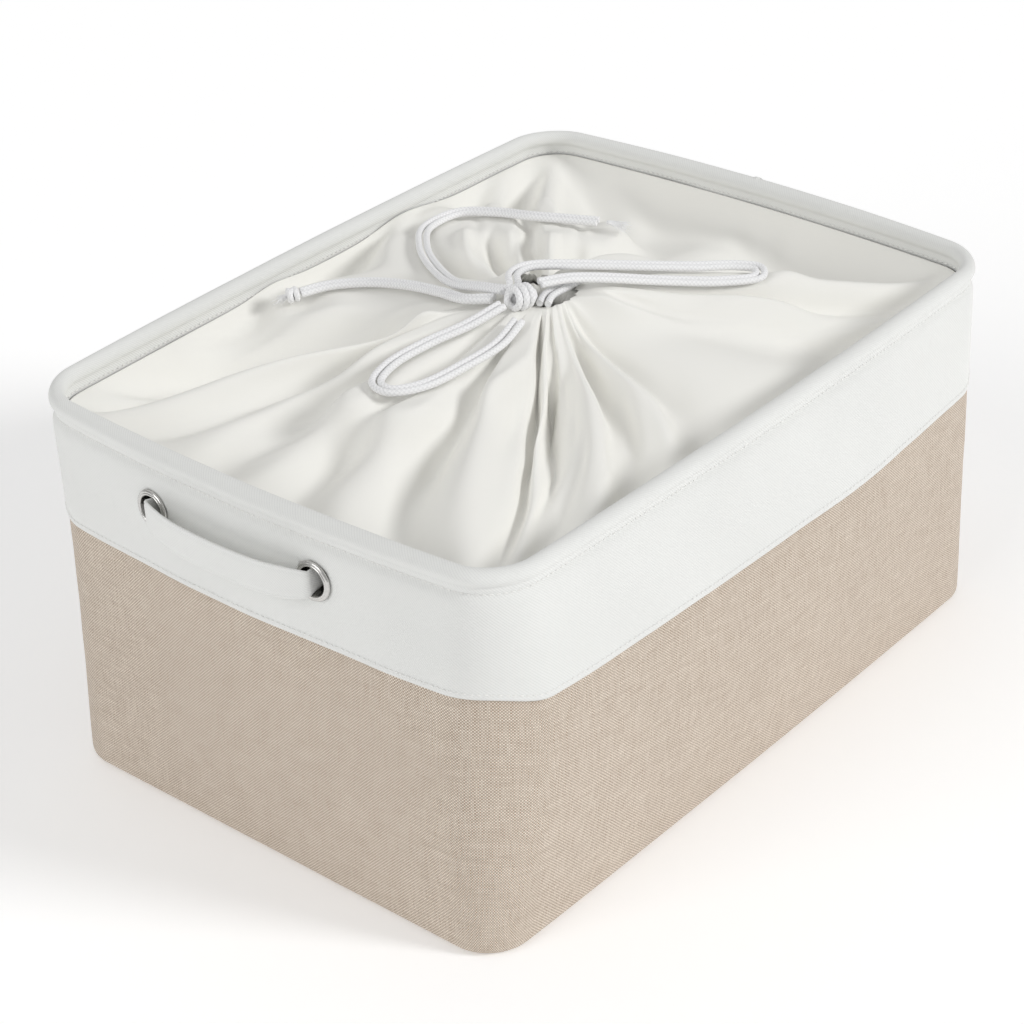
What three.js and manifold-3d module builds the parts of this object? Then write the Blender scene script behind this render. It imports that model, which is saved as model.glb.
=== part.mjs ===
// Fabric storage bin with a wire rim, two strap handles and a gathered drawstring cover.
// Millimetres, +Z up. Origin: centre of the flat base, on the floor. +X runs along the long side.
import * as THREE from 'three';
import { mergeVertices } from 'three/addons/utils/BufferGeometryUtils.js';
import Module from 'manifold-3d';

const wasm = await Module();
wasm.setup();

// ---- driving dimensions ----
const HEIGHT = 201;                       // floor to the top of the rolled rim
const RIM = { halfX: 190, halfY: 145, corner: 26, bowX: 10.4, bowY: 4.7 };
const BASE = { halfX: 199.5, halfY: 139.5, corner: 24, bowX: 0, bowY: 1.5 };
const BULGE = { x: 1.5, y: 10, top: 188, round: 6 };   // soft walls belly out between base and rim
const SEAM = 133;                         // height of the seam between the two outer fabrics on the long sides
const SEAM_RISE = { by: 5, from: 163, over: 26 };      // the seam climbs a little on the short sides
const CLOTH = 1;                          // outer fabric thickness
const GAP = 0.3;                          // clearance between touching pieces

const ROLL = { radius: 4, bore: 2.5, hem: 14 };        // rolled hem round the wire
const WIRE_RADIUS = 2.1;
const BAND_INSET = { seam: 0.2, middle: 0.7, neck: 1.4 };
const BODY_INSET = 1.1;                   // the lower fabric sits behind the band's edge
const TUCK = 9;                           // how far the lower fabric runs up under the band

const BOARD = { inset: 3.4, thick: 1.5, bottom: 2, top: 178, corner: 4 };
const LINING = { inset: 6, thick: 0.8, bottom: 1.5, top: 190.5, lip: 3.3 };
const FLOOR_CLOTH = { thick: 1.2, inset: 3.7 };
const BASE_BOARD = { inset: 12, bottom: 2.8, thick: 3 };

const EYELET = { halfSpan: 50, offset: 4, z: 171, outer: 9.8, bore: 6.8, tube: 7.6, stack: 11.7 };
const STRAP = { width: 16.5, endWidth: 9, thick: 2.2, standOff: 9.2, droop: 2 };

const COVER = { inset: 6.7, edgeZ: 188.5, thick: 0.9, mouthRadius: 11, mouthZ: 206, sag: 7 };
const MOUTH = { x: 8, y: -6 };            // centre of the gathered mouth
const CASING = { inner: 8, outer: 21, bottom: 207, top: 213.5 };
const CORD = 3.4;                         // braided cord diameter

// ---- colours ----
const look = (color, roughness, metalness = 0) => new THREE.MeshStandardMaterial({ color, roughness, metalness });
const LINEN = look(0xcdb8a4, 0.9);
const CANVAS = look(0xeeeeea, 0.85);
const LINING_CLOTH = look(0xe9e7df, 0.85);
const SATIN = look(0xf1efe8, 0.45);
const CORD_WHITE = look(0xf7f7f7, 0.7);
const STEEL = look(0xa8a8aa, 0.35, 1);
const NICKEL = look(0xc8c8c6, 0.2, 1);
const CARD = look(0xb9a686, 0.95);

const bin = new THREE.Group();
const mix = (a, b, t) => a + (b - a) * t;

// ---- the wall: a rounded rectangle that changes with height ----
const CORNER_STEPS = 4;
const LONG_STEPS = 6;
const SHORT_STEPS = 4;

function wallPlan(z) {
  const t = z / HEIGHT;
  const belly = Math.sin(Math.PI * Math.min(Math.max(z / BULGE.top, 0), 1));
  return {
    halfX: mix(BASE.halfX, RIM.halfX, t), halfY: mix(BASE.halfY, RIM.halfY, t),
    corner: mix(BASE.corner, RIM.corner, t) + BULGE.round * belly,
    bowX: mix(BASE.bowX, RIM.bowX, t), bowY: mix(BASE.bowY, RIM.bowY, t), bellyX: BULGE.x * belly, bellyY: BULGE.y * belly,
  };
}

// Belly across one side: 0 at both corners, nearly flat between them, with a hump past the middle towards +along.
function bellyShape(along) {
  const a = Math.min(Math.max(along, -1), 1);
  const ends = 1 - Math.abs(a) ** (a < 0 ? 5 : 3);
  return ends * (0.88 + 0.32 * Math.exp(-(((a - 0.3) / 0.28) ** 2)));
}

// How far the seam's rise lifts a point of the outer fabrics: all of it at the seam, none at the base or the rim.
function seamRise(x, z) {
  const share = Math.min(Math.max((Math.abs(x) - SEAM_RISE.from) / SEAM_RISE.over, 0), 1);
  const near = z < SEAM ? z / SEAM : Math.max(BULGE.top - z, 0) / (BULGE.top - SEAM);
  return SEAM_RISE.by * share * share * (3 - 2 * share) * near;
}

// Moves a point of the plain rounded rectangle out by the rim's bow and the walls' belly.
function bowed(x, y, plan, belly) {
  const u = x / plan.halfX;
  const v = y / plan.halfY;
  const sideX = Math.sign(x) || 1;
  const sideY = Math.sign(y) || 1;
  const outX = plan.bowX * (1 - v * v) + belly * plan.bellyX * bellyShape(-sideX * v);
  const outY = plan.bowY * (1 - u * u) + belly * plan.bellyY * bellyShape(-sideY * u);
  const onX = Math.max(0, (Math.abs(x) - plan.halfX + plan.corner) / plan.corner);
  const onY = Math.max(0, (Math.abs(y) - plan.halfY + plan.corner) / plan.corner);
  return [x + sideX * outX * Math.min(onX, 1), y + sideY * outY * Math.min(onY, 1)];
}

// Closed outline at height z, set in from the wall's outer face.
function outline(z, inset, belly = 1) {
  const plan = wallPlan(z);
  const hx = plan.halfX - inset;
  const hy = plan.halfY - inset;
  const r = Math.max(plan.corner - inset, 3);
  const points = [];
  const corners = [[1, 1, 0], [-1, 1, 90], [-1, -1, 180], [1, -1, 270]];
  corners.forEach(([sx, sy, start], i) => {
    for (let k = 0; k <= CORNER_STEPS; k += 1) {
      const a = THREE.MathUtils.degToRad(start + (90 * k) / CORNER_STEPS);
      points.push([sx * (hx - r) + r * Math.cos(a), sy * (hy - r) + r * Math.sin(a)]);
    }
    const steps = i % 2 === 0 ? LONG_STEPS : SHORT_STEPS;
    const from = points[points.length - 1];
    const [nx, ny] = corners[(i + 1) % 4];
    const to = i % 2 === 0 ? [nx * (hx - r), ny * hy] : [nx * hx, ny * (hy - r)];
    for (let k = 1; k < steps; k += 1) points.push([mix(from[0], to[0], k / steps), mix(from[1], to[1], k / steps)]);
  });
  return points.map(([x, y]) => new THREE.Vector3(...bowed(x, y, plan, belly), z));
}

// ---- mesh helpers ----
function geometryOf(vertices, triangles) {
  const geometry = new THREE.BufferGeometry();
  geometry.setAttribute('position', new THREE.Float32BufferAttribute(vertices.flatMap((v) => [v.x, v.y, v.z]), 3));
  geometry.setIndex(triangles.flat());
  let volume = 0;
  for (const [a, b, c] of triangles) volume += vertices[a].dot(new THREE.Vector3().crossVectors(vertices[b], vertices[c]));
  if (volume < 0) geometry.setIndex(triangles.map(([a, b, c]) => [a, c, b]).flat());
  geometry.computeVertexNormals();
  return geometry;
}

// Joins rings of equal length. closed: the last ring meets the first, as in a sleeve; otherwise both ends are capped.
function loft(rings, closed) {
  const n = rings[0].length;
  const vertices = rings.flat();
  const triangles = [];
  const last = closed ? rings.length : rings.length - 1;
  for (let i = 0; i < last; i += 1) {
    const a = i * n;
    const b = ((i + 1) % rings.length) * n;
    for (let k = 0; k < n; k += 1) {
      const m = (k + 1) % n;
      triangles.push([a + k, a + m, b + m], [a + k, b + m, b + k]);
    }
  }
  if (!closed) {
    for (const [ring, flip] of [[0, true], [rings.length - 1, false]]) {
      const centre = rings[ring].reduce((sum, p) => sum.add(p), new THREE.Vector3()).divideScalar(n);
      vertices.push(centre);
      const c = vertices.length - 1;
      for (let k = 0; k < n; k += 1) {
        const a = ring * n + k;
        const b = ring * n + ((k + 1) % n);
        triangles.push(flip ? [c, b, a] : [c, a, b]);
      }
    }
  }
  return geometryOf(vertices, triangles);
}

// A sleeve round the bin from a section of [inset, height] points.
function sleeve(section, belly = 1, rises = false) {
  const rings = section.map(([inset, z]) => outline(z, inset, belly));
  if (rises) rings.flat().forEach((p) => p.setZ(p.z + seamRise(p.x, p.z)));
  return loft(rings, true);
}

// A flat panel with the plan of the bin.
const panel = (bottom, thick, inset) => loft([outline(bottom, inset, 0), outline(bottom + thick, inset, 0)], false);

function solidOf(geometry, matrix) {
  const plain = geometry.clone();
  plain.deleteAttribute('normal');
  plain.deleteAttribute('uv');
  if (matrix) plain.applyMatrix4(matrix);
  const merged = mergeVertices(plain, 1e-4);
  const vertProperties = Float32Array.from(merged.attributes.position.array);
  const triVerts = Uint32Array.from(merged.index.array);
  return new wasm.Manifold(new wasm.Mesh({ numProp: 3, vertProperties, triVerts }));
}

function geometryFrom(solid) {
  const mesh = solid.getMesh();
  const geometry = new THREE.BufferGeometry();
  geometry.setAttribute('position', new THREE.Float32BufferAttribute(Array.from(mesh.vertProperties), 3));
  geometry.setIndex(Array.from(mesh.triVerts));
  geometry.computeVertexNormals();
  return geometry;
}

function add(name, geometry, material, parent = bin) {
  const mesh = new THREE.Mesh(geometry, material);
  mesh.name = name;
  parent.add(mesh);
  return mesh;
}

// ---- where the eyelets sit: a point and an outward direction on the end wall at -X ----
function endWall(y, z, inset) {
  const plan = wallPlan(z);
  const [x] = bowed(-plan.halfX + inset, y, plan, 1);
  return new THREE.Vector3(x, y, z);
}

function eyeletFrame(y) {
  const step = 4;
  const across = endWall(y + step, EYELET.z, 0).sub(endWall(y - step, EYELET.z, 0));
  const up = endWall(y, EYELET.z + step, 0).sub(endWall(y, EYELET.z - step, 0));
  const outward = new THREE.Vector3().crossVectors(up, across).normalize();
  if (outward.x > 0) outward.negate();
  const turn = new THREE.Quaternion().setFromUnitVectors(new THREE.Vector3(0, 1, 0), outward);
  return new THREE.Matrix4().compose(endWall(y, EYELET.z, BAND_INSET.middle), turn, new THREE.Vector3(1, 1, 1));
}

const HALF_TURN = new THREE.Matrix4().makeRotationZ(Math.PI);
const ENDS = [['left', new THREE.Matrix4()], ['right', HALF_TURN]];
const EYELETS = [['front', EYELET.offset - EYELET.halfSpan], ['back', EYELET.offset + EYELET.halfSpan]];

// Cuts the holes for the eyelet tubes of the given ends.
function withEyeletHoles(geometry, ends) {
  let solid = solidOf(geometry);
  const drill = new THREE.CylinderGeometry(EYELET.tube + GAP, EYELET.tube + GAP, 40, 16);
  for (const [, turn] of ends) {
    for (const [, y] of EYELETS) solid = solid.subtract(solidOf(drill, turn.clone().multiply(eyeletFrame(y))));
  }
  return geometryFrom(solid);
}

// ---- outer fabric ----
function bodySection() {
  const out = BODY_INSET;
  const tucked = BAND_INSET.seam + CLOTH + 2 * GAP;
  const outer = [[3.3, 0], [1.9, 0.7], [out, 3], [out, 35], [out, 70], [out, 105], [out, SEAM - 2], [tucked, SEAM + 1]];
  const inner = [[tucked + CLOTH, SEAM + TUCK], [out + CLOTH + 0.4, SEAM - 2], [out + CLOTH, 105], [out + CLOTH, 70]];
  return [...outer, [tucked, SEAM + TUCK], ...inner, [out + CLOTH, 35], [out + CLOTH, 4], [3.3, 2.2]];
}

function bandSection() {
  const { radius, bore, hem } = ROLL;
  const axisZ = HEIGHT - radius;
  const onRoll = (r, degrees) => {
    const a = THREE.MathUtils.degToRad(degrees);
    return [radius + r * Math.cos(a), axisZ + r * Math.sin(a)];
  };
  const { seam, middle, neck } = BAND_INSET;
  const outerLeg = [[seam, SEAM], [seam + 0.2, SEAM + TUCK], [middle, 158], [middle + 0.1, 174], [neck, 188]];
  const outerRoll = [-130, -180, -225, -270, -315, -360, -410].map((a) => onRoll(radius, a));
  const hemLeg = [[5.9, HEIGHT - hem], [4.9, HEIGHT - hem]];
  const innerRoll = [-60, 0, 45, 90, 135, 180, 240].map((a) => onRoll(bore, a));
  const innerLeg = outerLeg.map(([inset, z]) => [inset + CLOTH, z]).reverse();
  return [...outerLeg, ...outerRoll, ...hemLeg, ...innerRoll, ...innerLeg];
}

function rimWire() {
  const axisZ = HEIGHT - ROLL.radius;
  const section = [];
  for (let k = 0; k < 8; k += 1) {
    const a = (k * Math.PI) / 4;
    section.push([ROLL.radius + WIRE_RADIUS * Math.cos(a), axisZ + WIRE_RADIUS * Math.sin(a)]);
  }
  return sleeve(section);
}

add('base_fabric', panel(0, FLOOR_CLOTH.thick, FLOOR_CLOTH.inset), LINEN);
add('body_fabric', sleeve(bodySection(), 1, true), LINEN);
add('upper_band', withEyeletHoles(sleeve(bandSection(), 1, true), ENDS), CANVAS);
add('rim_wire', rimWire(), STEEL);

// ---- stiffeners and lining ----
function wallBoard(side) {
  const heights = [BOARD.bottom, 60, 120, BOARD.top];
  const pick = (z, inset) => {
    const plan = wallPlan(z);
    const alongX = side === 'front' || side === 'back';
    const reach = (alongX ? plan.halfX : plan.halfY) - plan.corner - BOARD.corner;
    const points = [];
    for (let k = 0; k <= LONG_STEPS; k += 1) {
      const s = mix(-reach, reach, k / LONG_STEPS);
      const out = (alongX ? plan.halfY : plan.halfX) - inset;
      const sign = side === 'front' || side === 'left' ? -1 : 1;
      const [x, y] = alongX ? bowed(s, sign * out, plan, 0) : bowed(sign * out, s, plan, 0);
      points.push(new THREE.Vector3(x, y, z));
    }
    return points;
  };
  const ring = (z) => [...pick(z, BOARD.inset), ...pick(z, BOARD.inset + BOARD.thick).reverse()];
  const rings = heights.map(ring);
  const n = LONG_STEPS + 1;
  const triangles = [];
  const vertices = rings.flat();
  rings.slice(1).forEach((_, i) => {
    for (let k = 0; k < 2 * n; k += 1) {
      const [a, b] = [i * 2 * n + k, i * 2 * n + ((k + 1) % (2 * n))];
      triangles.push([a, b, b + 2 * n], [a, b + 2 * n, a + 2 * n]);
    }
  });
  for (const [base, flip] of [[0, true], [(rings.length - 1) * 2 * n, false]]) {
    for (let k = 0; k < n - 1; k += 1) {
      const [a, b, c, d] = [base + k, base + k + 1, base + 2 * n - 2 - k, base + 2 * n - 1 - k];
      triangles.push(...(flip ? [[a, c, b], [a, d, c]] : [[a, b, c], [a, c, d]]));
    }
  }
  return geometryOf(vertices, triangles);
}

add('board_front', wallBoard('front'), CARD);
add('board_back', wallBoard('back'), CARD);
add('board_left', withEyeletHoles(wallBoard('left'), [ENDS[0]]), CARD);
add('board_right', withEyeletHoles(wallBoard('right'), [ENDS[1]]), CARD);

function liningSection() {
  const { inset, thick, bottom, top, lip } = LINING;
  const shoulder = BOARD.top + 0.8;
  const outer = [[inset, bottom], [inset, 90], [inset, shoulder], [lip, shoulder + 6.5], [lip, top]];
  const inner = [[lip + thick, top], [lip + thick, shoulder + 7], [inset + thick, shoulder + 0.5], [inset + thick, 90]];
  return [...outer, ...inner, [inset + thick, bottom]];
}

add('lining_wall', withEyeletHoles(sleeve(liningSection(), 0), ENDS), LINING_CLOTH);
add('lining_floor', panel(LINING.bottom, LINING.thick, LINING.inset + LINING.thick + GAP), LINING_CLOTH);
add('base_board', panel(BASE_BOARD.bottom, BASE_BOARD.thick, BASE_BOARD.inset), CARD);

// ---- handles ----
function ring(profile) {
  const points = profile.map(([r, y]) => new THREE.Vector2(r, y));
  if (THREE.ShapeUtils.isClockWise(points)) points.reverse();
  return new THREE.LatheGeometry([...points, points[0]], 18);
}

function eyeletRing() {
  const { outer, bore, tube, stack } = EYELET;
  return ring([[outer, 0.9], [outer - 0.6, 1.9], [outer - 2.2, 2.3], [bore + 0.4, 1.7], [bore, 0.9], [bore, -stack],
    [tube, -stack], [tube, 0.9]]);
}

function washerRing() {
  const { outer, tube, stack } = EYELET;
  return ring([[outer - 1, -stack + 0.8], [outer - 1.4, -stack - 0.1], [tube + GAP, -stack - 0.1], [tube + GAP, -stack + 0.8]]);
}

// Flat strip through the given centres. Each section stands on its across direction and faces out.
function strip(sections) {
  const rings = sections.map(({ centre, across, facing, width, thick }) => {
    const w = across.clone().multiplyScalar(width / 2);
    const t = facing.clone().multiplyScalar(thick / 2);
    return [[1, 1], [-1, 1], [-1, -1], [1, -1]].map(([a, b]) => centre.clone().addScaledVector(w, a).addScaledVector(t, b));
  });
  return loft(rings, false);
}

// The free part of the handle, between its two eyelets. It hangs a little and stands off the wall.
function handleStrap() {
  const sections = [];
  const steps = 14;
  const reach = EYELET.halfSpan - 3;
  for (let k = 0; k <= steps; k += 1) {
    const s = mix(-1, 1, k / steps);
    const y = EYELET.offset + reach * s;
    const arch = 1 - s ** 4;
    const out = mix(4.2, STRAP.standOff, arch);
    const centre = endWall(y, EYELET.z, 0);
    centre.x -= out;
    centre.z -= STRAP.droop * (1 - s * s);
    const width = mix(STRAP.endWidth, STRAP.width, Math.min(1, (1 - Math.abs(s)) * 3.2));
    const across = new THREE.Vector3(0, 0, 1);
    const along = new THREE.Vector3(s * 0.25, 1, 0).normalize();
    const facing = new THREE.Vector3().crossVectors(across, along).normalize();
    sections.push({ centre, across, facing, width, thick: STRAP.thick });
  }
  return strip(sections);
}

// The strap's end: it passes through the eyelet and is folded and stitched into a stop inside.
function strapEnd(y) {
  const frame = eyeletFrame(y);
  const neck = new THREE.BoxGeometry(8, EYELET.stack + 4, 4.6);
  const stop = new THREE.SphereGeometry(1, 12, 8);
  const stopHalf = { across: 9.5, deep: 4, tall: 9 };
  stop.scale(stopHalf.across, stopHalf.deep, stopHalf.tall);
  const inside = -EYELET.stack - 1 - stopHalf.deep;
  const neckAt = frame.clone().multiply(new THREE.Matrix4().makeTranslation(0, -EYELET.stack / 2, 0));
  const stopAt = frame.clone().multiply(new THREE.Matrix4().makeTranslation(0, inside, 0));
  return geometryFrom(solidOf(neck, neckAt).add(solidOf(stop, stopAt)));
}

for (const [end, turn] of ENDS) {
  const group = new THREE.Group();
  group.applyMatrix4(turn);
  bin.add(group);
  for (const [place, y] of EYELETS) {
    const frame = eyeletFrame(y);
    add(`eyelet_${end}_${place}`, eyeletRing().applyMatrix4(frame), NICKEL, group);
    add(`washer_${end}_${place}`, washerRing().applyMatrix4(frame), NICKEL, group);
    add(`strap_end_${end}_${place}`, strapEnd(y), CANVAS, group);
  }
  add(`handle_strap_${end}`, handleStrap(), CANVAS, group);
}

// ---- drawstring cover ----
// r runs from 0 at the sewn edge to 1 at the mouth; the cloth sags between the corners' taut lines.
function coverRing(r, lower) {
  const edge = outline(COVER.edgeZ, COVER.inset, 0);
  return edge.map((p) => {
    const away = new THREE.Vector2(p.x - MOUTH.x, p.y - MOUTH.y).normalize();
    const x = mix(p.x, MOUTH.x + COVER.mouthRadius * away.x, r);
    const y = mix(p.y, MOUTH.y + COVER.mouthRadius * away.y, r);
    const corner = Math.min(1, (Math.abs(p.x) / RIM.halfX) * (Math.abs(p.y) / RIM.halfY) * 1.15) ** 4;
    const sag = COVER.sag * (1 - corner) * 4 * r * (1 - r);
    return new THREE.Vector3(x, y, mix(COVER.edgeZ, COVER.mouthZ, r) - sag - (lower ? COVER.thick : 0));
  });
}

const COVER_RINGS = [0, 0.2, 0.45, 0.72, 1];
const coverSkin = [...COVER_RINGS.map((r) => coverRing(r, false)), ...[...COVER_RINGS].reverse().map((r) => coverRing(r, true))];
add('drawstring_cover', loft(coverSkin, true), SATIN);

function casing() {
  const { inner, outer, bottom, top } = CASING;
  const middle = (bottom + top) / 2;
  const profile = [[outer - 3, bottom], [outer, middle], [outer - 4, top - 0.5], [inner + 3, top], [inner, middle], [inner + 2, bottom]];
  const geometry = ring(profile);
  geometry.rotateX(Math.PI / 2);
  return geometry.translate(MOUTH.x, MOUTH.y, 0);
}
add('casing_hem', casing(), SATIN);

// ---- drawstring: two doubled cords tied in one bow ----
const KNOT = { x: -12, y: -8, z: 219.6, half: [9, 7, 4.6] };
const PAIR = CORD / 2 + 0.35;             // each strand's distance from the middle of its pair

// The middle line of each doubled cord, from the bow's knot outwards and, for a loop, back to it.
const ROUTES = {
  loop_left: [[-22, -5, 218.5], [-40, 0, 214.5], [-62, 8, 211], [-84, 11, 208.5], [-99, 6, 207], [-101, -4, 207],
    [-90, -14, 208], [-68, -20, 210.5], [-46, -23, 213.5], [-28, -20, 217]],
  loop_right: [[-6, 1, 222], [2, 8, 221.5], [14, 9, 220.5], [32, -6, 218.5], [56, -26, 214], [78, -44, 210],
    [94, -56, 207.6], [99, -66, 207], [91, -72, 207.2], [74, -63, 209], [52, -45, 213], [28, -27, 219], [13, -17, 222],
    [0, -10, 222.6]],
  tail_left: [[-18, 4, 217.6], [-22, 18, 215], [-14, 42, 208.5], [-10, 66, 203.5], [-12, 90, 199], [-22, 110, 195.5],
    [-34, 118, 194]],
  tail_back: [[-12, 1, 220.5], [-10, 18, 216.5], [-4, 40, 209.5], [12, 68, 203.5], [36, 98, 198], [60, 116, 195],
    [82, 114, 195], [90, 94, 197.5], [92, 72, 200.5], [98, 54, 201.5], [104, 38, 202]],
  lead: [[26, -13.2, 215.6], [12, -13, 216], [2, -13.5, 216.3], [-6, -17, 216]],
};
const STEPS = { loop_left: 18, loop_right: 26, tail_left: 10, tail_back: 18, lead: 4 };

function strand(route, side, steps) {
  const curve = new THREE.CatmullRomCurve3(route.map((p) => new THREE.Vector3(...p)));
  const up = new THREE.Vector3(0, 0, 1);
  const points = curve.getSpacedPoints(steps).map((p, i) => {
    const across = new THREE.Vector3().crossVectors(curve.getTangentAt(i / steps), up).normalize();
    return p.addScaledVector(across, side * PAIR);
  });
  const section = new THREE.Shape();
  section.absarc(0, 0, CORD / 2, 0, Math.PI * 2);
  const path = new THREE.CatmullRomCurve3(points);
  return new THREE.ExtrudeGeometry(section, { steps, extrudePath: path, curveSegments: 4 });
}

for (const [name, route] of Object.entries(ROUTES)) {
  add(`${name}_strand_a`, strand(route, -1, STEPS[name]), CORD_WHITE);
  add(`${name}_strand_b`, strand(route, 1, STEPS[name]), CORD_WHITE);
}

function lump(half, x, y, z) {
  const geometry = new THREE.SphereGeometry(1, 10, 7);
  return geometry.scale(...half).translate(x, y, z);
}

add('bow_knot', lump(KNOT.half, KNOT.x, KNOT.y, KNOT.z), CORD_WHITE);
const TAIL_KNOT = 5;
for (const name of ['tail_left', 'tail_back']) {
  const route = ROUTES[name];
  const end = new THREE.Vector3(...route[route.length - 1]);
  const before = new THREE.Vector3(...route[route.length - 2]);
  const along = end.clone().sub(before).normalize();
  const at = end.clone().addScaledVector(along, TAIL_KNOT + GAP);
  add(`${name}_knot`, lump([TAIL_KNOT, TAIL_KNOT, TAIL_KNOT], at.x, at.y, at.z), CORD_WHITE);
}

export default bin;
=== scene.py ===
"""Fabric storage bin: outer fabrics, lining, gathered drawstring cover, cords, handles and eyelets.

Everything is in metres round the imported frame: the base stands on z = 0 and +X runs along the long side.
"""
import math

import bmesh
import bpy
import numpy as np
from bpy.props import FloatProperty, FloatVectorProperty, IntProperty, PointerProperty
from mathutils import Matrix, Vector


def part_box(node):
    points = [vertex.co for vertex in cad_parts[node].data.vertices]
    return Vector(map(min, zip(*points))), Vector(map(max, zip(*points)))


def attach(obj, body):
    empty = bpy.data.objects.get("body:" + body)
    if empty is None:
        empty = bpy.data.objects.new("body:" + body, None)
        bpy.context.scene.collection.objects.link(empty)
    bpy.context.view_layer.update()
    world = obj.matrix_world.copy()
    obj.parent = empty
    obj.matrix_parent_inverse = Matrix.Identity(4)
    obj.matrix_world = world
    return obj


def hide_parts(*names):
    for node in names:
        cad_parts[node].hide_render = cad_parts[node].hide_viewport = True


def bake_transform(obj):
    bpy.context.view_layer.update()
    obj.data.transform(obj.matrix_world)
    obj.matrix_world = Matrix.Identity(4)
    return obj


bl_info = {
    "name": "Fabric Storage Bin",
    "version": (1, 0, 0),
    "blender": (4, 5, 0),
    "location": "3D View > Sidebar > Bin",
    "description": "Makes the pieces of a fabric storage bin with a gathered drawstring cover",
    "category": "Object",
}

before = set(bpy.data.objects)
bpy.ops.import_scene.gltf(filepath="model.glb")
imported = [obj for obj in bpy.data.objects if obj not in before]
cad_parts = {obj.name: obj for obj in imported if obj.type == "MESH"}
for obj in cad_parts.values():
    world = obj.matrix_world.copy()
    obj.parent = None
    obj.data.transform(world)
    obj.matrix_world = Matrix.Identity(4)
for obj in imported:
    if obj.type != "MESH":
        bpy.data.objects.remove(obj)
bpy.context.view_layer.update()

# ---- the bin's wall, in metres, as the frame has it ----
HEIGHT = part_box("upper_band")[1].z
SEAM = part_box("upper_band")[0].z
RIM = {"half_x": 0.190, "half_y": 0.145, "corner": 0.026, "bow_x": 0.0104, "bow_y": 0.0047}
BASE = {"half_x": 0.1995, "half_y": 0.1395, "corner": 0.024, "bow_x": 0.0, "bow_y": 0.0015}
BULGE = {"x": 0.0015, "y": 0.010, "top": 0.188, "round": 0.006}
SEAM_RISE = {"by": 0.005, "from": 0.163, "over": 0.026}
CLOTH = 0.001
ROLL_RADIUS = 0.004
STITCH_DROP = 0.0118
BODY_INSET = 0.0011
CORNER_STEPS, LONG_STEPS, SHORT_STEPS = 16, 84, 64
OUTWARD_SIGNS = ((1, 1, 0), (-1, 1, 90), (-1, -1, 180), (1, -1, 270))

# ---- the gathered mouth and the eyelets ----
COVER_INSET = 0.0067
COVER_EDGE_Z = 0.1885
MOUTH = Vector((0.008, -0.006, 0.0))
EYELET = {
    "half_span": 0.050, "offset": 0.004, "z": 0.171, "outer": 0.0098, "bore": 0.0068, "tube": 0.0076, "stack": 0.0117,
}
STRAP = {"width": 0.0165, "end_width": 0.0132, "thick": 0.0022, "stand_off": 0.0092, "droop": 0.002}

# ---- the drawstring, from the knot outwards, in metres ----
CORD = 0.0034
PAIR = CORD / 2 + 0.00035
KNOT = Vector((-0.012, -0.008, 0.2196))
ROUTES = {
    "loop_left": [
        (-0.022, -0.005, 0.2185), (-0.040, 0.000, 0.2145), (-0.062, 0.008, 0.211), (-0.084, 0.011, 0.2085),
        (-0.099, 0.006, 0.207), (-0.101, -0.004, 0.207), (-0.090, -0.014, 0.208), (-0.068, -0.020, 0.2105),
        (-0.046, -0.023, 0.2135), (-0.028, -0.020, 0.217),
    ],
    "loop_right": [
        (-0.006, 0.001, 0.222), (0.002, 0.008, 0.2215), (0.014, 0.009, 0.2205), (0.032, -0.006, 0.2185),
        (0.056, -0.026, 0.214), (0.078, -0.044, 0.210), (0.094, -0.056, 0.2076), (0.099, -0.066, 0.207),
        (0.091, -0.072, 0.2072), (0.074, -0.063, 0.209), (0.052, -0.045, 0.213), (0.028, -0.027, 0.219),
        (0.013, -0.017, 0.222), (0.000, -0.010, 0.2226),
    ],
    "tail_left": [
        (-0.018, 0.004, 0.2176), (-0.022, 0.018, 0.215), (-0.014, 0.042, 0.2085), (-0.010, 0.066, 0.2035),
        (-0.012, 0.090, 0.199), (-0.022, 0.110, 0.1955), (-0.034, 0.118, 0.194),
    ],
    "tail_back": [
        (-0.012, 0.001, 0.2205), (-0.010, 0.018, 0.2165), (-0.004, 0.040, 0.2095), (0.012, 0.068, 0.2035),
        (0.036, 0.098, 0.198), (0.060, 0.116, 0.195), (0.082, 0.114, 0.195), (0.090, 0.094, 0.1975),
        (0.092, 0.072, 0.2005), (0.098, 0.054, 0.2015), (0.104, 0.038, 0.202),
    ],
    "lead": [(0.026, -0.0132, 0.2156), (0.012, -0.013, 0.216), (0.002, -0.0135, 0.2163), (-0.006, -0.017, 0.216)],
}


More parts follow.
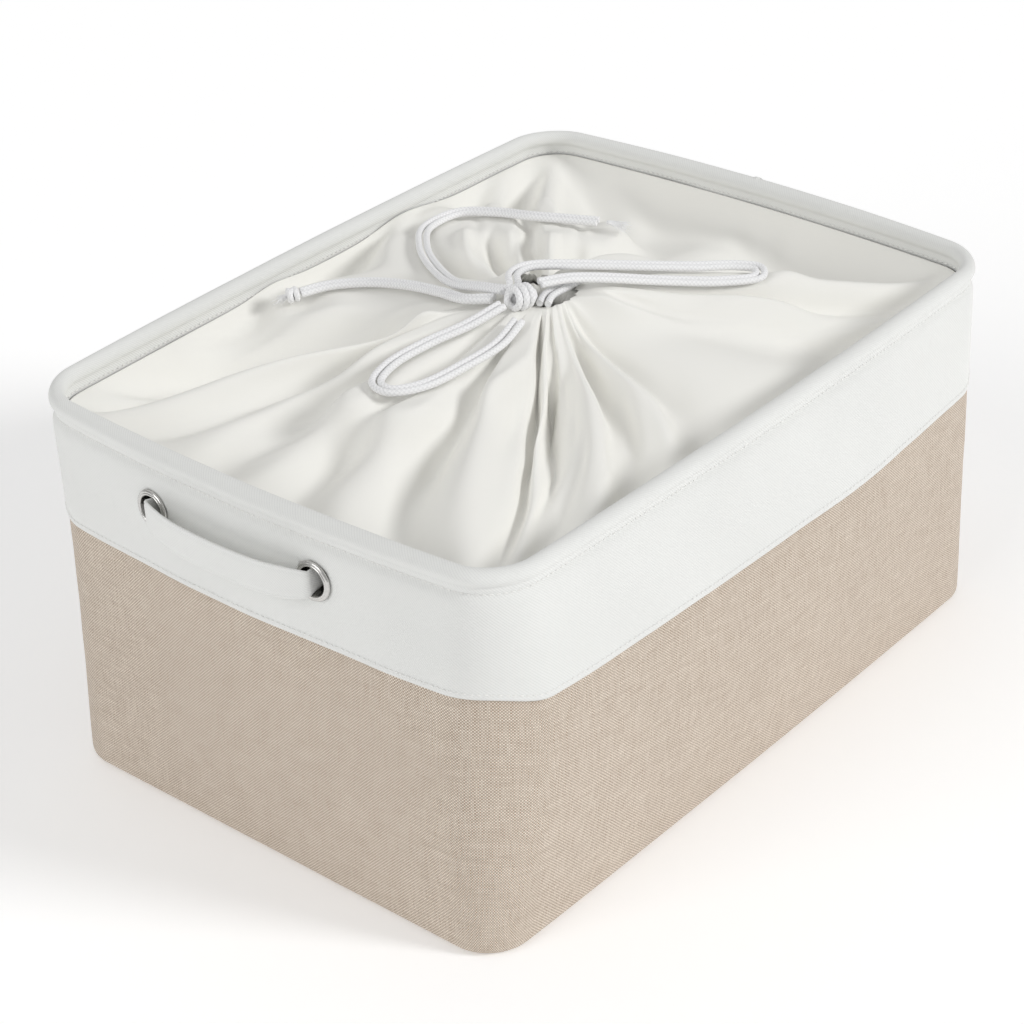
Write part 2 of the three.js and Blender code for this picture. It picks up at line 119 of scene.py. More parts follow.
# ---- sizes and colours a user would change ----
class BinSizes(bpy.types.PropertyGroup):
    stitch_pitch: FloatProperty(
        name="Stitch pitch", description="Distance from one stitch to the next", default=0.0031, unit="LENGTH")
    stitch_width: FloatProperty(
        name="Thread width", description="Width of the sewing thread", default=0.00055, unit="LENGTH")
    linen_pitch: FloatProperty(
        name="Linen thread pitch", description="Distance between the outer fabric's threads", default=0.00078,
        unit="LENGTH")
    canvas_pitch: FloatProperty(
        name="Canvas rib pitch", description="Distance between the band's twill ribs", default=0.0015, unit="LENGTH")
    mouth_radius: FloatProperty(
        name="Mouth radius", description="Radius of the gathered mouth", default=0.0195, unit="LENGTH")
    mouth_height: FloatProperty(
        name="Mouth height", description="Height of the gathered mouth above the floor", default=0.2085,
        unit="LENGTH")
    cover_slack: FloatProperty(
        name="Cover slack", description="Share that the cover is cut longer than the straight way to its mouth",
        default=0.04, min=0.0, max=0.3)
    mouth_cut: FloatProperty(
        name="Cover cut at the mouth", description="Length round the cover's inner edge before it is gathered",
        default=0.62, unit="LENGTH")
    braid_pitch: FloatProperty(
        name="Braid pitch", description="Length of one crossing in the braided cord", default=0.0021, unit="LENGTH")
    seed: IntProperty(name="Seed", description="Seed for the small irregularities", default=7)


def colour_property(name, description, default):
    return FloatVectorProperty(
        name=name, description=description, default=default, size=4, min=0.0, max=1.0, subtype="COLOR")


class BinColours(bpy.types.PropertyGroup):
    linen_light: colour_property("Linen, light", "Pale threads of the lower fabric", (0.97, 0.88, 0.77, 1))
    linen_dark: colour_property("Linen, dark", "Brown threads of the lower fabric", (0.36, 0.265, 0.19, 1))
    canvas: colour_property("Canvas", "The white band", (0.815, 0.82, 0.80, 1))
    lining: colour_property("Lining", "The inside cloth", (0.74, 0.73, 0.68, 1))
    satin: colour_property("Cover", "The gathered cover", (0.80, 0.80, 0.775, 1))
    # Painted shade: warm cream that the cover's material mixes in deep in its folds.
    satin_fold_shade: colour_property("Cover, in the folds", "The cover's colour deep in its folds", (0.66, 0.615, 0.49, 1))
    cord: colour_property("Cord", "The braided drawstring", (0.95, 0.95, 0.955, 1))
    thread: colour_property("Thread", "The sewing thread", (0.90, 0.895, 0.87, 1))
    nickel: colour_property("Nickel", "The eyelets", (0.66, 0.65, 0.63, 1))
    card: colour_property("Board", "The stiffening boards", (0.47, 0.37, 0.25, 1))


# ---- the shape of the wall ----
def wall_plan(z):
    """Half sizes, corner radius, bow and belly of the wall at one height."""
    t = z / HEIGHT
    plan = {key: BASE[key] + (RIM[key] - BASE[key]) * t for key in RIM}
    belly = math.sin(math.pi * min(max(z / BULGE["top"], 0.0), 1.0))
    plan["corner"] += BULGE["round"] * belly
    return plan | {"belly_x": BULGE["x"] * belly, "belly_y": BULGE["y"] * belly}


def belly_shape(along):
    """Belly across one side: nothing at both corners, nearly flat between them, with a hump past the middle."""
    along = np.clip(along, -1, 1)
    ends = 1 - np.abs(along) ** np.where(along < 0, 5, 3)
    return ends * (0.88 + 0.32 * np.exp(-(((along - 0.3) / 0.28) ** 2)))


def seam_rise(rows):
    """Lifts rows of the outer fabrics where the seam climbs: all of it at the seam, none at the base or the rim."""
    x, z = np.abs(rows[..., 0]), rows[..., 2]
    share = np.clip((x - SEAM_RISE["from"]) / SEAM_RISE["over"], 0, 1)
    near = np.where(z < SEAM, z / SEAM, np.clip(BULGE["top"] - z, 0, None) / (BULGE["top"] - SEAM))
    rows = rows.copy()
    rows[..., 2] += SEAM_RISE["by"] * share * share * (3 - 2 * share) * near
    return rows


def bowed(x, y, plan, belly):
    """Moves points of the plain rounded rectangle out by the rim's bow and the walls' belly."""
    u, v = x / plan["half_x"], y / plan["half_y"]
    side_x, side_y = np.where(x < 0, -1.0, 1.0), np.where(y < 0, -1.0, 1.0)
    out_x = plan["bow_x"] * (1 - v * v) + belly * plan["belly_x"] * belly_shape(-side_x * v)
    out_y = plan["bow_y"] * (1 - u * u) + belly * plan["belly_y"] * belly_shape(-side_y * u)
    on_x = np.clip((np.abs(x) - plan["half_x"] + plan["corner"]) / plan["corner"], 0, 1)
    on_y = np.clip((np.abs(y) - plan["half_y"] + plan["corner"]) / plan["corner"], 0, 1)
    return x + side_x * out_x * on_x, y + side_y * out_y * on_y


def outline(z, inset, belly=1.0):
    """Closed outline at height z, set in from the wall's outer face, as an array of points."""
    plan = wall_plan(z)
    half_x, half_y = plan["half_x"] - inset, plan["half_y"] - inset
    radius = max(plan["corner"] - inset, 0.003)
    xs, ys = [], []
    for i, (sign_x, sign_y, start) in enumerate(OUTWARD_SIGNS):
        angle = np.radians(start + 90 * np.arange(CORNER_STEPS + 1) / CORNER_STEPS)
        corner_x = sign_x * (half_x - radius) + radius * np.cos(angle)
        corner_y = sign_y * (half_y - radius) + radius * np.sin(angle)
        steps = LONG_STEPS if i % 2 == 0 else SHORT_STEPS
        share = np.arange(1, steps) / steps
        next_x, next_y = OUTWARD_SIGNS[(i + 1) % 4][:2]
        if i % 2 == 0:
            end_x, end_y = next_x * (half_x - radius), next_y * half_y
        else:
            end_x, end_y = next_x * half_x, next_y * (half_y - radius)
        xs += [corner_x, corner_x[-1] + (end_x - corner_x[-1]) * share]
        ys += [corner_y, corner_y[-1] + (end_y - corner_y[-1]) * share]
    x, y = bowed(np.concatenate(xs), np.concatenate(ys), plan, belly)
    return np.stack([x, y, np.full_like(x, z)], -1)


def end_wall(y, z, inset):
    """A point of the end wall at -X."""
    plan = wall_plan(z)
    x, _ = bowed(np.array([-plan["half_x"] + inset]), np.array([y]), plan, 1.0)
    return Vector((float(x[0]), y, z))


def eyelet_frame(y):
    """Matrix of an eyelet on the -X wall: its Z axis points out of the wall."""
    step = 0.004
    across = end_wall(y + step, EYELET["z"], 0) - end_wall(y - step, EYELET["z"], 0)
    up = end_wall(y, EYELET["z"] + step, 0) - end_wall(y, EYELET["z"] - step, 0)
    outward = up.cross(across).normalized()
    if outward.x > 0:
        outward.negate()
    turn = outward.to_track_quat("Z", "Y").to_matrix().to_4x4()
    return Matrix.Translation(end_wall(y, EYELET["z"], 0.0007)) @ turn


ENDS = {"left": Matrix.Identity(4), "right": Matrix.Rotation(math.pi, 4, "Z")}
EYELET_Y = {"front": EYELET["offset"] - EYELET["half_span"], "back": EYELET["offset"] + EYELET["half_span"]}


def soft_waves(points, wavelength, seed, count=7):
    """Smooth waves in about -1..1 over points, the same each run."""
    rng = np.random.default_rng(seed)
    total = np.zeros(len(points))
    for _ in range(count):
        direction = rng.normal(size=3)
        direction /= np.linalg.norm(direction)
        length = wavelength * rng.uniform(0.65, 1.6)
        total += np.sin(points @ direction * 2 * np.pi / length + rng.uniform(0, 2 * np.pi))
    return total / math.sqrt(count * 2)


# ---- mesh helpers ----
def link(name, mesh):
    piece = bpy.data.objects.new(name, mesh)
    bpy.context.scene.collection.objects.link(piece)
    return piece


def steps_along(points):
    """Distance along a line of points, starting at 0."""
    return np.concatenate([[0.0], np.cumsum(np.linalg.norm(np.diff(points, axis=0), axis=1))])


def grid_mesh(name, rows, around=True, across=False):
    """Mesh of quads through rows of points, with a UV map in metres. around, across: that way closes on itself."""
    rows = np.asarray(rows, float)
    m, n = rows.shape[:2]
    i, k = np.meshgrid(np.arange(m if across else m - 1), np.arange(n if around else n - 1), indexing="ij")
    i, k = i.ravel(), k.ravel()
    corners = [(i, k), (i, k + 1), (i + 1, k + 1), (i + 1, k)]
    faces = np.stack([(a % m) * n + b % n for a, b in corners], -1)
    middle = rows[m // 2]
    u = steps_along(np.vstack([middle, middle[:1]]))
    v = steps_along(np.vstack([rows[:, 0], rows[:1, 0]]))
    mesh = bpy.data.meshes.new(name)
    mesh.from_pydata(rows.reshape(-1, 3).tolist(), [], faces.tolist())
    uv = np.stack([np.stack([u[b], v[a]], -1) for a, b in corners], 1)
    mesh.uv_layers.new(name="UVMap").uv.foreach_set("vector", uv.astype(np.float32).ravel())
    mesh.polygons.foreach_set("use_smooth", [True] * len(mesh.polygons))
    mesh.update()
    return mesh


def point_outwards(mesh):
    """Turns a closed mesh the right way out."""
    co = np.zeros(len(mesh.vertices) * 3)
    mesh.vertices.foreach_get("co", co)
    mesh.calc_loop_triangles()
    tri = np.zeros(len(mesh.loop_triangles) * 3, int)
    mesh.loop_triangles.foreach_get("vertices", tri)
    a, b, c = co.reshape(-1, 3)[tri.reshape(-1, 3)].transpose(1, 0, 2)
    if np.einsum("ij,ij->i", a, np.cross(b, c)).sum() < 0:
        mesh.flip_normals()
    return mesh


def cap_ends(mesh, around, rows):
    """Closes the first and last ring of a tube made by grid_mesh."""
    edit = bmesh.new()
    edit.from_mesh(mesh)
    edit.verts.ensure_lookup_table()
    for start, turn in ((0, -1), ((rows - 1) * around, 1)):
        edit.faces.new([edit.verts[start + k] for k in range(around)][::turn])
    edit.to_mesh(mesh)
    edit.free()
    return mesh


def sleeve(name, section, belly=1.0, shift=None):
    """A sleeve round the bin from a closed section of (inset, height) points."""
    rows = np.array([outline(z, inset, belly) for inset, z in section])
    if shift is not None:
        rows = shift(rows)
    return point_outwards(grid_mesh(name, rows, True, True))


def finish_piece(piece, material, body, slot, *nodes):
    """Gives a finished piece its material and body, and hides the frame nodes that it stands for; slot is not used."""
    if material is not None:
        piece.data.materials.clear()
        piece.data.materials.append(material)
    if body is not None:
        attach(piece, body)
    if nodes:
        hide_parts(*nodes)
    return piece


def moved_out(rows, amount):
    """Moves the rows of a sleeve outwards from the bin's middle by amount, an array of the rows' shape."""
    centre = np.array([0.0, 0.0])
    away = rows[..., :2] - centre
    away /= np.maximum(np.linalg.norm(away, axis=-1, keepdims=True), 1e-6)
    rows = rows.copy()
    rows[..., :2] += away * amount[..., None]
    return rows


def drilled(piece, ends=("left", "right")):
    """Cuts the eyelets' holes in a piece."""
    cutters = bmesh.new()
    for end in ends:
        for y in EYELET_Y.values():
            place = ENDS[end] @ eyelet_frame(y)
            bmesh.ops.create_cone(
                cutters, cap_ends=True, segments=32, radius1=EYELET["tube"] + 0.0003,
                radius2=EYELET["tube"] + 0.0003, depth=0.05, matrix=place)
    mesh = bpy.data.meshes.new("drill")
    cutters.to_mesh(mesh)
    cutters.free()
    cutter = link("drill", mesh)
    cut = piece.modifiers.new("holes", "BOOLEAN")
    cut.operation = "DIFFERENCE"
    cut.object = cutter
    cut.solver = "EXACT"
    made = bpy.data.meshes.new_from_object(piece.evaluated_get(bpy.context.evaluated_depsgraph_get()))
    piece.modifiers.clear()
    piece.data = made
    bpy.data.objects.remove(cutter)
    bpy.data.meshes.remove(mesh)
    return piece


# ---- shader helpers ----
class Wiring:
    """A short way to add and join shader nodes in one tree."""

    def __init__(self, tree):
        self.tree = tree

    def node(self, kind, inputs=None, **settings):
        made = self.tree.nodes.new(kind)
        for key, value in settings.items():
            setattr(made, key, value)
        for key, value in (inputs or {}).items():
            if isinstance(value, bpy.types.NodeSocket):
                self.tree.links.new(value, made.inputs[key])
            else:
                made.inputs[key].default_value = value
        return made

    def math(self, operation, a, b=0.0, clamp=False):
        return self.node("ShaderNodeMath", {0: a, 1: b}, operation=operation, use_clamp=clamp).outputs[0]

    def mix(self, share, a, b):
        """Mixes two colours."""
        made = self.node("ShaderNodeMix", {"Factor": share}, data_type="RGBA")
        for index, value in ((6, a), (7, b)):
            if isinstance(value, bpy.types.NodeSocket):
                self.tree.links.new(value, made.inputs[index])
            else:
                made.inputs[index].default_value = value
        return made.outputs[2]

    def spread(self, value, low, high, new_low=0.0, new_high=1.0):
        """Maps low..high to new_low..new_high."""
        inputs = {"Value": value, "From Min": low, "From Max": high, "To Min": new_low, "To Max": new_high}
        return self.node("ShaderNodeMapRange", inputs).outputs["Result"]

    def noise(self, vector, scale, detail=2.0, roughness=0.5):
        inputs = {"Vector": vector, "Scale": scale, "Detail": detail, "Roughness": roughness}
        return self.node("ShaderNodeTexNoise", inputs).outputs["Fac"]


def shader_group(name, inputs, outputs):
    """An empty shader node group with named sockets. Returns (group, wiring, input sockets, output node)."""
    group = bpy.data.node_groups.new(name, "ShaderNodeTree")
    for socket, kind, default in inputs:
        made = group.interface.new_socket(socket, in_out="INPUT", socket_type=kind)
        if default is not None:
            made.default_value = default
    for socket, kind in outputs:
        group.interface.new_socket(socket, in_out="OUTPUT", socket_type=kind)
    wiring = Wiring(group)
    return group, wiring, wiring.node("NodeGroupInput").outputs, wiring.node("NodeGroupOutput")


FLOAT, VECTOR, COLOUR = "NodeSocketFloat", "NodeSocketVector", "NodeSocketColor"


def weave_group():
    """Plain weave: threads go over and under each other, and each thread has its own tone."""
    if "plain_weave" in bpy.data.node_groups:
        return bpy.data.node_groups["plain_weave"]
    group, wire, given, out = shader_group(
        "plain_weave",
        [("Vector", VECTOR, None), ("Pitch", FLOAT, 0.001), ("Slub", FLOAT, 0.3)],
        [("Height", FLOAT), ("Tone", FLOAT), ("Over", FLOAT)])
    wobble = wire.noise(given["Vector"], 60.0, 1.0)
    drift = wire.math("MULTIPLY", wire.math("SUBTRACT", wobble, 0.5), given["Slub"])
    parts = wire.node("ShaderNodeSeparateXYZ", {0: given["Vector"]}).outputs
    u = wire.math("ADD", wire.math("DIVIDE", parts[0], given["Pitch"]), drift)
    v = wire.math("ADD", wire.math("DIVIDE", parts[1], given["Pitch"]), drift)
    column, row = wire.math("FLOOR", u), wire.math("FLOOR", v)
    across_u = wire.math("SINE", wire.math("MULTIPLY", wire.math("FRACT", u), math.pi))
    across_v = wire.math("SINE", wire.math("MULTIPLY", wire.math("FRACT", v), math.pi))
    share = wire.math("FRACT", wire.math("DIVIDE", wire.math("ADD", wire.math("ADD", column, row), 0.25), 2.0))
    over = wire.math("LESS_THAN", share, 0.5)
    warp = wire.math("MULTIPLY", across_u, wire.math("ADD", wire.math("MULTIPLY", across_v, 0.5), 0.5))
    weft = wire.math("MULTIPLY", across_v, wire.math("ADD", wire.math("MULTIPLY", across_u, 0.5), 0.5))
    under = wire.math("SUBTRACT", 1.0, over)
    height = wire.math("ADD", wire.math("MULTIPLY", warp, over), wire.math("MULTIPLY", weft, under))
    warp_place = wire.node("ShaderNodeCombineXYZ", {0: wire.math("MULTIPLY", column, 7.3), 1: parts[1]}).outputs[0]
    weft_place = wire.node("ShaderNodeCombineXYZ", {0: parts[0], 1: wire.math("MULTIPLY", row, 7.3)}).outputs[0]
    warp_tone = wire.node(
        "ShaderNodeTexNoise", {"Vector": scaled(wire, warp_place, (1, 90, 1)), "Scale": 1.0, "Detail": 1.0}).outputs[0]
    weft_tone = wire.node(
        "ShaderNodeTexNoise", {"Vector": scaled(wire, weft_place, (90, 1, 1)), "Scale": 1.0, "Detail": 1.0}).outputs[0]
    tone = wire.math("ADD", wire.math("MULTIPLY", warp_tone, over), wire.math("MULTIPLY", weft_tone, under))
    wire.tree.links.new(height, out.inputs["Height"])
    wire.tree.links.new(tone, out.inputs["Tone"])
    wire.tree.links.new(over, out.inputs["Over"])
    return group


def scaled(wire, vector, scale):
    return wire.node("ShaderNodeVectorMath", {0: vector, 1: scale}, operation="MULTIPLY").outputs[0]


def twill_group():
    """Twill: fine slanted ribs, a little uneven."""
    if "twill_ribs" in bpy.data.node_groups:
        return bpy.data.node_groups["twill_ribs"]
    group, wire, given, out = shader_group(
        "twill_ribs", [("Vector", VECTOR, None), ("Pitch", FLOAT, 0.001)], [("Height", FLOAT), ("Tone", FLOAT)])
    parts = wire.node("ShaderNodeSeparateXYZ", {0: given["Vector"]}).outputs
    slant = wire.math("DIVIDE", wire.math("ADD", parts[0], parts[1]), given["Pitch"])
    cross = wire.math("DIVIDE", wire.math("SUBTRACT", parts[0], parts[1]), given["Pitch"])
    rib = wire.math("SINE", wire.math("MULTIPLY", wire.math("FRACT", slant), math.pi))
    bead = wire.math("SINE", wire.math("MULTIPLY", wire.math("FRACT", cross), math.pi))
    height = wire.math("ADD", wire.math("MULTIPLY", rib, 0.75), wire.math("MULTIPLY", bead, 0.25))
    wire.tree.links.new(height, out.inputs["Height"])
    wire.tree.links.new(wire.noise(given["Vector"], 220.0, 2.0), out.inputs["Tone"])
    return group


def crumple_group():
    """Soft hand of cloth: shallow dents of two sizes, and slow changes of shade."""
    if "soft_hand" in bpy.data.node_groups:
        return bpy.data.node_groups["soft_hand"]
    group, wire, given, out = shader_group(
        "soft_hand", [("Vector", VECTOR, None), ("Size", FLOAT, 0.03)], [("Height", FLOAT), ("Shade", FLOAT)])
    scale = wire.math("DIVIDE", 1.0, given["Size"])
    large = wire.noise(given["Vector"], scale, 2.0, 0.45)
    small = wire.noise(given["Vector"], wire.math("MULTIPLY", scale, 4.7), 3.0, 0.55)
    height = wire.math("ADD", wire.math("MULTIPLY", large, 0.75), wire.math("MULTIPLY", small, 0.25))
    wire.tree.links.new(height, out.inputs["Height"])
    wire.tree.links.new(large, out.inputs["Shade"])
    return group


def new_material(name):
    """A material with an empty Principled shader. Returns (material, wiring, shader node)."""
    material = bpy.data.materials.new(name)
    material.use_nodes = True
    material.node_tree.nodes.clear()
    wire = Wiring(material.node_tree)
    shader = wire.node("ShaderNodeBsdfPrincipled")
    output = wire.node("ShaderNodeOutputMaterial")
    material.node_tree.links.new(shader.outputs[0], output.inputs["Surface"])
    return material, wire, shader


def group_node(wire, group, **inputs):
    made = wire.node("ShaderNodeGroup", node_tree=group)
    for key, value in inputs.items():
        socket = made.inputs[key.replace("_", " ")]
        if isinstance(value, bpy.types.NodeSocket):
            wire.tree.links.new(value, socket)
        else:
            socket.default_value = value
    return made.outputs


def bump(wire, height, distance, strength=1.0, normal=None):
    inputs = {"Height": height, "Distance": distance, "Strength": strength}
    if normal is not None:
        inputs["Normal"] = normal
    return wire.node("ShaderNodeBump", inputs).outputs[0]


def times(colour, share):
    """The colour made darker by share."""
    return (colour[0] * share, colour[1] * share, colour[2] * share, 1.0)


# ---- materials ----
def linen_material(look, sizes):
    """Coarse linen: cream threads among brown ones, uneven, with a matt hand."""
    material, wire, shader = new_material("linen_weave")
    uv = wire.node("ShaderNodeUVMap", uv_map="UVMap").outputs[0]
    place = wire.node("ShaderNodeTexCoord").outputs["Object"]
    weave = group_node(wire, weave_group(), Vector=uv, Pitch=sizes.linen_pitch, Slub=0.55)
    hand = group_node(wire, crumple_group(), Vector=place, Size=0.05)
    thread = wire.spread(weave["Tone"], 0.25, 0.75)
    tone = wire.math("ADD", wire.math("MULTIPLY", weave["Over"], 0.62), wire.math("MULTIPLY", thread, 0.38))
    light = wire.mix(wire.spread(hand["Shade"], 0.3, 0.7), times(look.linen_light, 0.96), tuple(look.linen_light))
    threads = wire.mix(tone, light, tuple(look.linen_dark))
    # Painted shade: the gaps between threads are darkened towards a deep brown.
    gap = wire.spread(weave["Height"], 0.0, 0.55, 0.55, 0.0)
    colour = wire.mix(gap, threads, times(look.linen_dark, 0.62))
    wire.tree.links.new(colour, shader.inputs["Base Color"])
    wire.tree.links.new(wire.spread(weave["Height"], 0, 1, 0.95, 0.80), shader.inputs["Roughness"])
    soft = bump(wire, hand["Height"], 0.0008, 0.25)
    wire.tree.links.new(bump(wire, weave["Height"], 0.00018, 0.8, soft), shader.inputs["Normal"])
    shader.inputs["Specular IOR Level"].default_value = 0.25
    shader.inputs["Sheen Weight"].default_value = 0.12
    shader.inputs["Sheen Roughness"].default_value = 0.5
    return material


def canvas_material(look, sizes, name="canvas_twill", colour=None, pitch=None):
    """White twill canvas: fine slanted ribs and a soft, slightly uneven surface."""
    colour = tuple(colour or look.canvas)
    material, wire, shader = new_material(name)
    uv = wire.node("ShaderNodeUVMap", uv_map="UVMap").outputs[0]
    place = wire.node("ShaderNodeTexCoord").outputs["Object"]
    ribs = group_node(wire, twill_group(), Vector=uv, Pitch=pitch or sizes.canvas_pitch)
    hand = group_node(wire, crumple_group(), Vector=place, Size=0.06)
    shade = wire.mix(wire.spread(hand["Shade"], 0.3, 0.7), times(colour, 0.965), colour)
    flecked = wire.mix(wire.spread(ribs["Tone"], 0.55, 0.8, 0.0, 0.35), shade, times(colour, 0.93))
    # Painted shade: the twill's rib valleys are darkened.
    rib_valley_shade = wire.mix(wire.spread(ribs["Height"], 0.0, 0.7, 0.45, 0.0), flecked, times(colour, 0.78))
    wire.tree.links.new(rib_valley_shade, shader.inputs["Base Color"])
    wire.tree.links.new(wire.spread(ribs["Height"], 0, 1, 0.9, 0.72), shader.inputs["Roughness"])
    soft = bump(wire, hand["Height"], 0.0012, 0.30)
    wire.tree.links.new(bump(wire, ribs["Height"], 0.00012, 0.7, soft), shader.inputs["Normal"])
    shader.inputs["Specular IOR Level"].default_value = 0.3
    shader.inputs["Sheen Weight"].default_value = 0.1
    shader.inputs["Sheen Roughness"].default_value = 0.5
    return material


def satin_material(look):
    """Thin glossy cloth: bright on the folds, with cream shade painted deep between them."""
    material, wire, shader = new_material("cover_satin")
    uv = wire.node("ShaderNodeUVMap", uv_map="UVMap").outputs[0]
    place = wire.node("ShaderNodeTexCoord").outputs["Object"]
    depth = wire.node("ShaderNodeAttribute", attribute_name="fold_shade_depth").outputs["Fac"]
    hand = group_node(wire, crumple_group(), Vector=place, Size=0.035)
    ribs = group_node(wire, twill_group(), Vector=uv, Pitch=0.0005)
    # Painted shade: warm cream mixed in by how deep in a fold each point lies.
    shaded_in_folds = wire.mix(depth, tuple(look.satin), tuple(look.satin_fold_shade))
    shade = wire.mix(wire.spread(hand["Shade"], 0.35, 0.75, 0.0, 0.35), shaded_in_folds, times(look.satin, 0.95))
    wire.tree.links.new(shade, shader.inputs["Base Color"])
    wire.tree.links.new(wire.spread(hand["Height"], 0.3, 0.7, 0.30, 0.43), shader.inputs["Roughness"])
    soft = bump(wire, hand["Height"], 0.0016, 0.45)
    wire.tree.links.new(bump(wire, ribs["Height"], 0.00004, 0.35, soft), shader.inputs["Normal"])
    shader.inputs["Specular IOR Level"].default_value = 0.45
    shader.inputs["Sheen Weight"].default_value = 0.2
    shader.inputs["Sheen Roughness"].default_value = 0.35
    return material


def cord_material(look):
    """Braided cord: white strands, with grey shade painted in the gaps where they cross."""
    material, wire, shader = new_material("braided_cord")
    uv = wire.node("ShaderNodeUVMap", uv_map="UVMap").outputs[0]
    crossing = wire.node("ShaderNodeAttribute", attribute_name="strand_gap_shade").outputs["Fac"]
    fibre = wire.noise(scaled(wire, uv, (1.0, 0.25, 1.0)), 5200.0, 2.0)
    # Painted shade: the gaps between the strands are darkened grey.
    colour = wire.mix(crossing, tuple(look.cord), times(look.cord, 0.78))
    flecked = wire.mix(wire.spread(fibre, 0.4, 0.8, 0.0, 0.25), colour, times(look.cord, 0.86))
    wire.tree.links.new(flecked, shader.inputs["Base Color"])
    wire.tree.links.new(wire.spread(fibre, 0, 1, 0.5, 0.72), shader.inputs["Roughness"])
    wire.tree.links.new(bump(wire, fibre, 0.0001, 0.4), shader.inputs["Normal"])
    shader.inputs["Sheen Weight"].default_value = 0.15
    shader.inputs["Specular IOR Level"].default_value = 0.4
    return material


def thread_material(look):
    """Twisted sewing thread."""
    material, wire, shader = new_material("sewing_thread")
    place = wire.node("ShaderNodeTexCoord").outputs["Object"]
    fibre = wire.noise(place, 2600.0, 2.0)
    wire.tree.links.new(
        wire.mix(wire.spread(fibre, 0.3, 0.7), times(look.thread, 0.88), tuple(look.thread)),
        shader.inputs["Base Color"])
    wire.tree.links.new(wire.spread(fibre, 0, 1, 0.55, 0.75), shader.inputs["Roughness"])
    wire.tree.links.new(bump(wire, fibre, 0.00006, 0.5), shader.inputs["Normal"])
    return material


def metal_material(name, colour, rough):
    """Polished plated metal with faint handling marks."""
    material, wire, shader = new_material(name)
    place = wire.node("ShaderNodeTexCoord").outputs["Object"]
    marks = wire.noise(scaled(wire, place, (1.0, 1.0, 3.0)), 420.0, 4.0, 0.65)
    wire.tree.links.new(
        wire.mix(wire.spread(marks, 0.35, 0.75), tuple(colour), times(colour, 0.86)), shader.inputs["Base Color"])
    wire.tree.links.new(wire.spread(marks, 0.3, 0.8, rough, rough + 0.14), shader.inputs["Roughness"])
    wire.tree.links.new(bump(wire, marks, 0.00003, 0.3), shader.inputs["Normal"])
    shader.inputs["Metallic"].default_value = 1.0
    return material


def card_material(look):
    """Grey-brown pressed board with short fibres."""
    material, wire, shader = new_material("pressed_board")
    place = wire.node("ShaderNodeTexCoord").outputs["Object"]
    fibre = wire.noise(scaled(wire, place, (1.0, 1.0, 2.5)), 900.0, 5.0, 0.7)
    stain = wire.noise(place, 30.0, 2.0)
    tint = wire.mix(wire.spread(stain, 0.3, 0.7), times(look.card, 0.92), tuple(look.card))
    colour = wire.mix(wire.spread(fibre, 0.5, 0.8), tint, times(look.card, 0.7))
    wire.tree.links.new(colour, shader.inputs["Base Color"])
    wire.tree.links.new(wire.spread(fibre, 0, 1, 0.95, 0.8), shader.inputs["Roughness"])
    wire.tree.links.new(bump(wire, fibre, 0.00015, 0.5), shader.inputs["Normal"])
    return material


def material(name):
    """The finish of that name, made once."""
    look, sizes = bpy.context.scene.bin_colours, bpy.context.scene.bin_sizes
    makers = {
        "linen_weave": lambda: linen_material(look, sizes),
        "canvas_twill": lambda: canvas_material(look, sizes),
        "lining_cloth": lambda: canvas_material(look, sizes, "lining_cloth", look.lining, 0.0006),
        "cover_satin": lambda: satin_material(look),
        "braided_cord": lambda: cord_material(look),
        "sewing_thread": lambda: thread_material(look),
        "nickel_plate": lambda: metal_material("nickel_plate", look.nickel, 0.16),
        "drawn_steel": lambda: metal_material("drawn_steel", (0.45, 0.45, 0.46, 1), 0.3),
        "pressed_board": lambda: card_material(look),
    }
    return bpy.data.materials.get(name) or makers[name]()


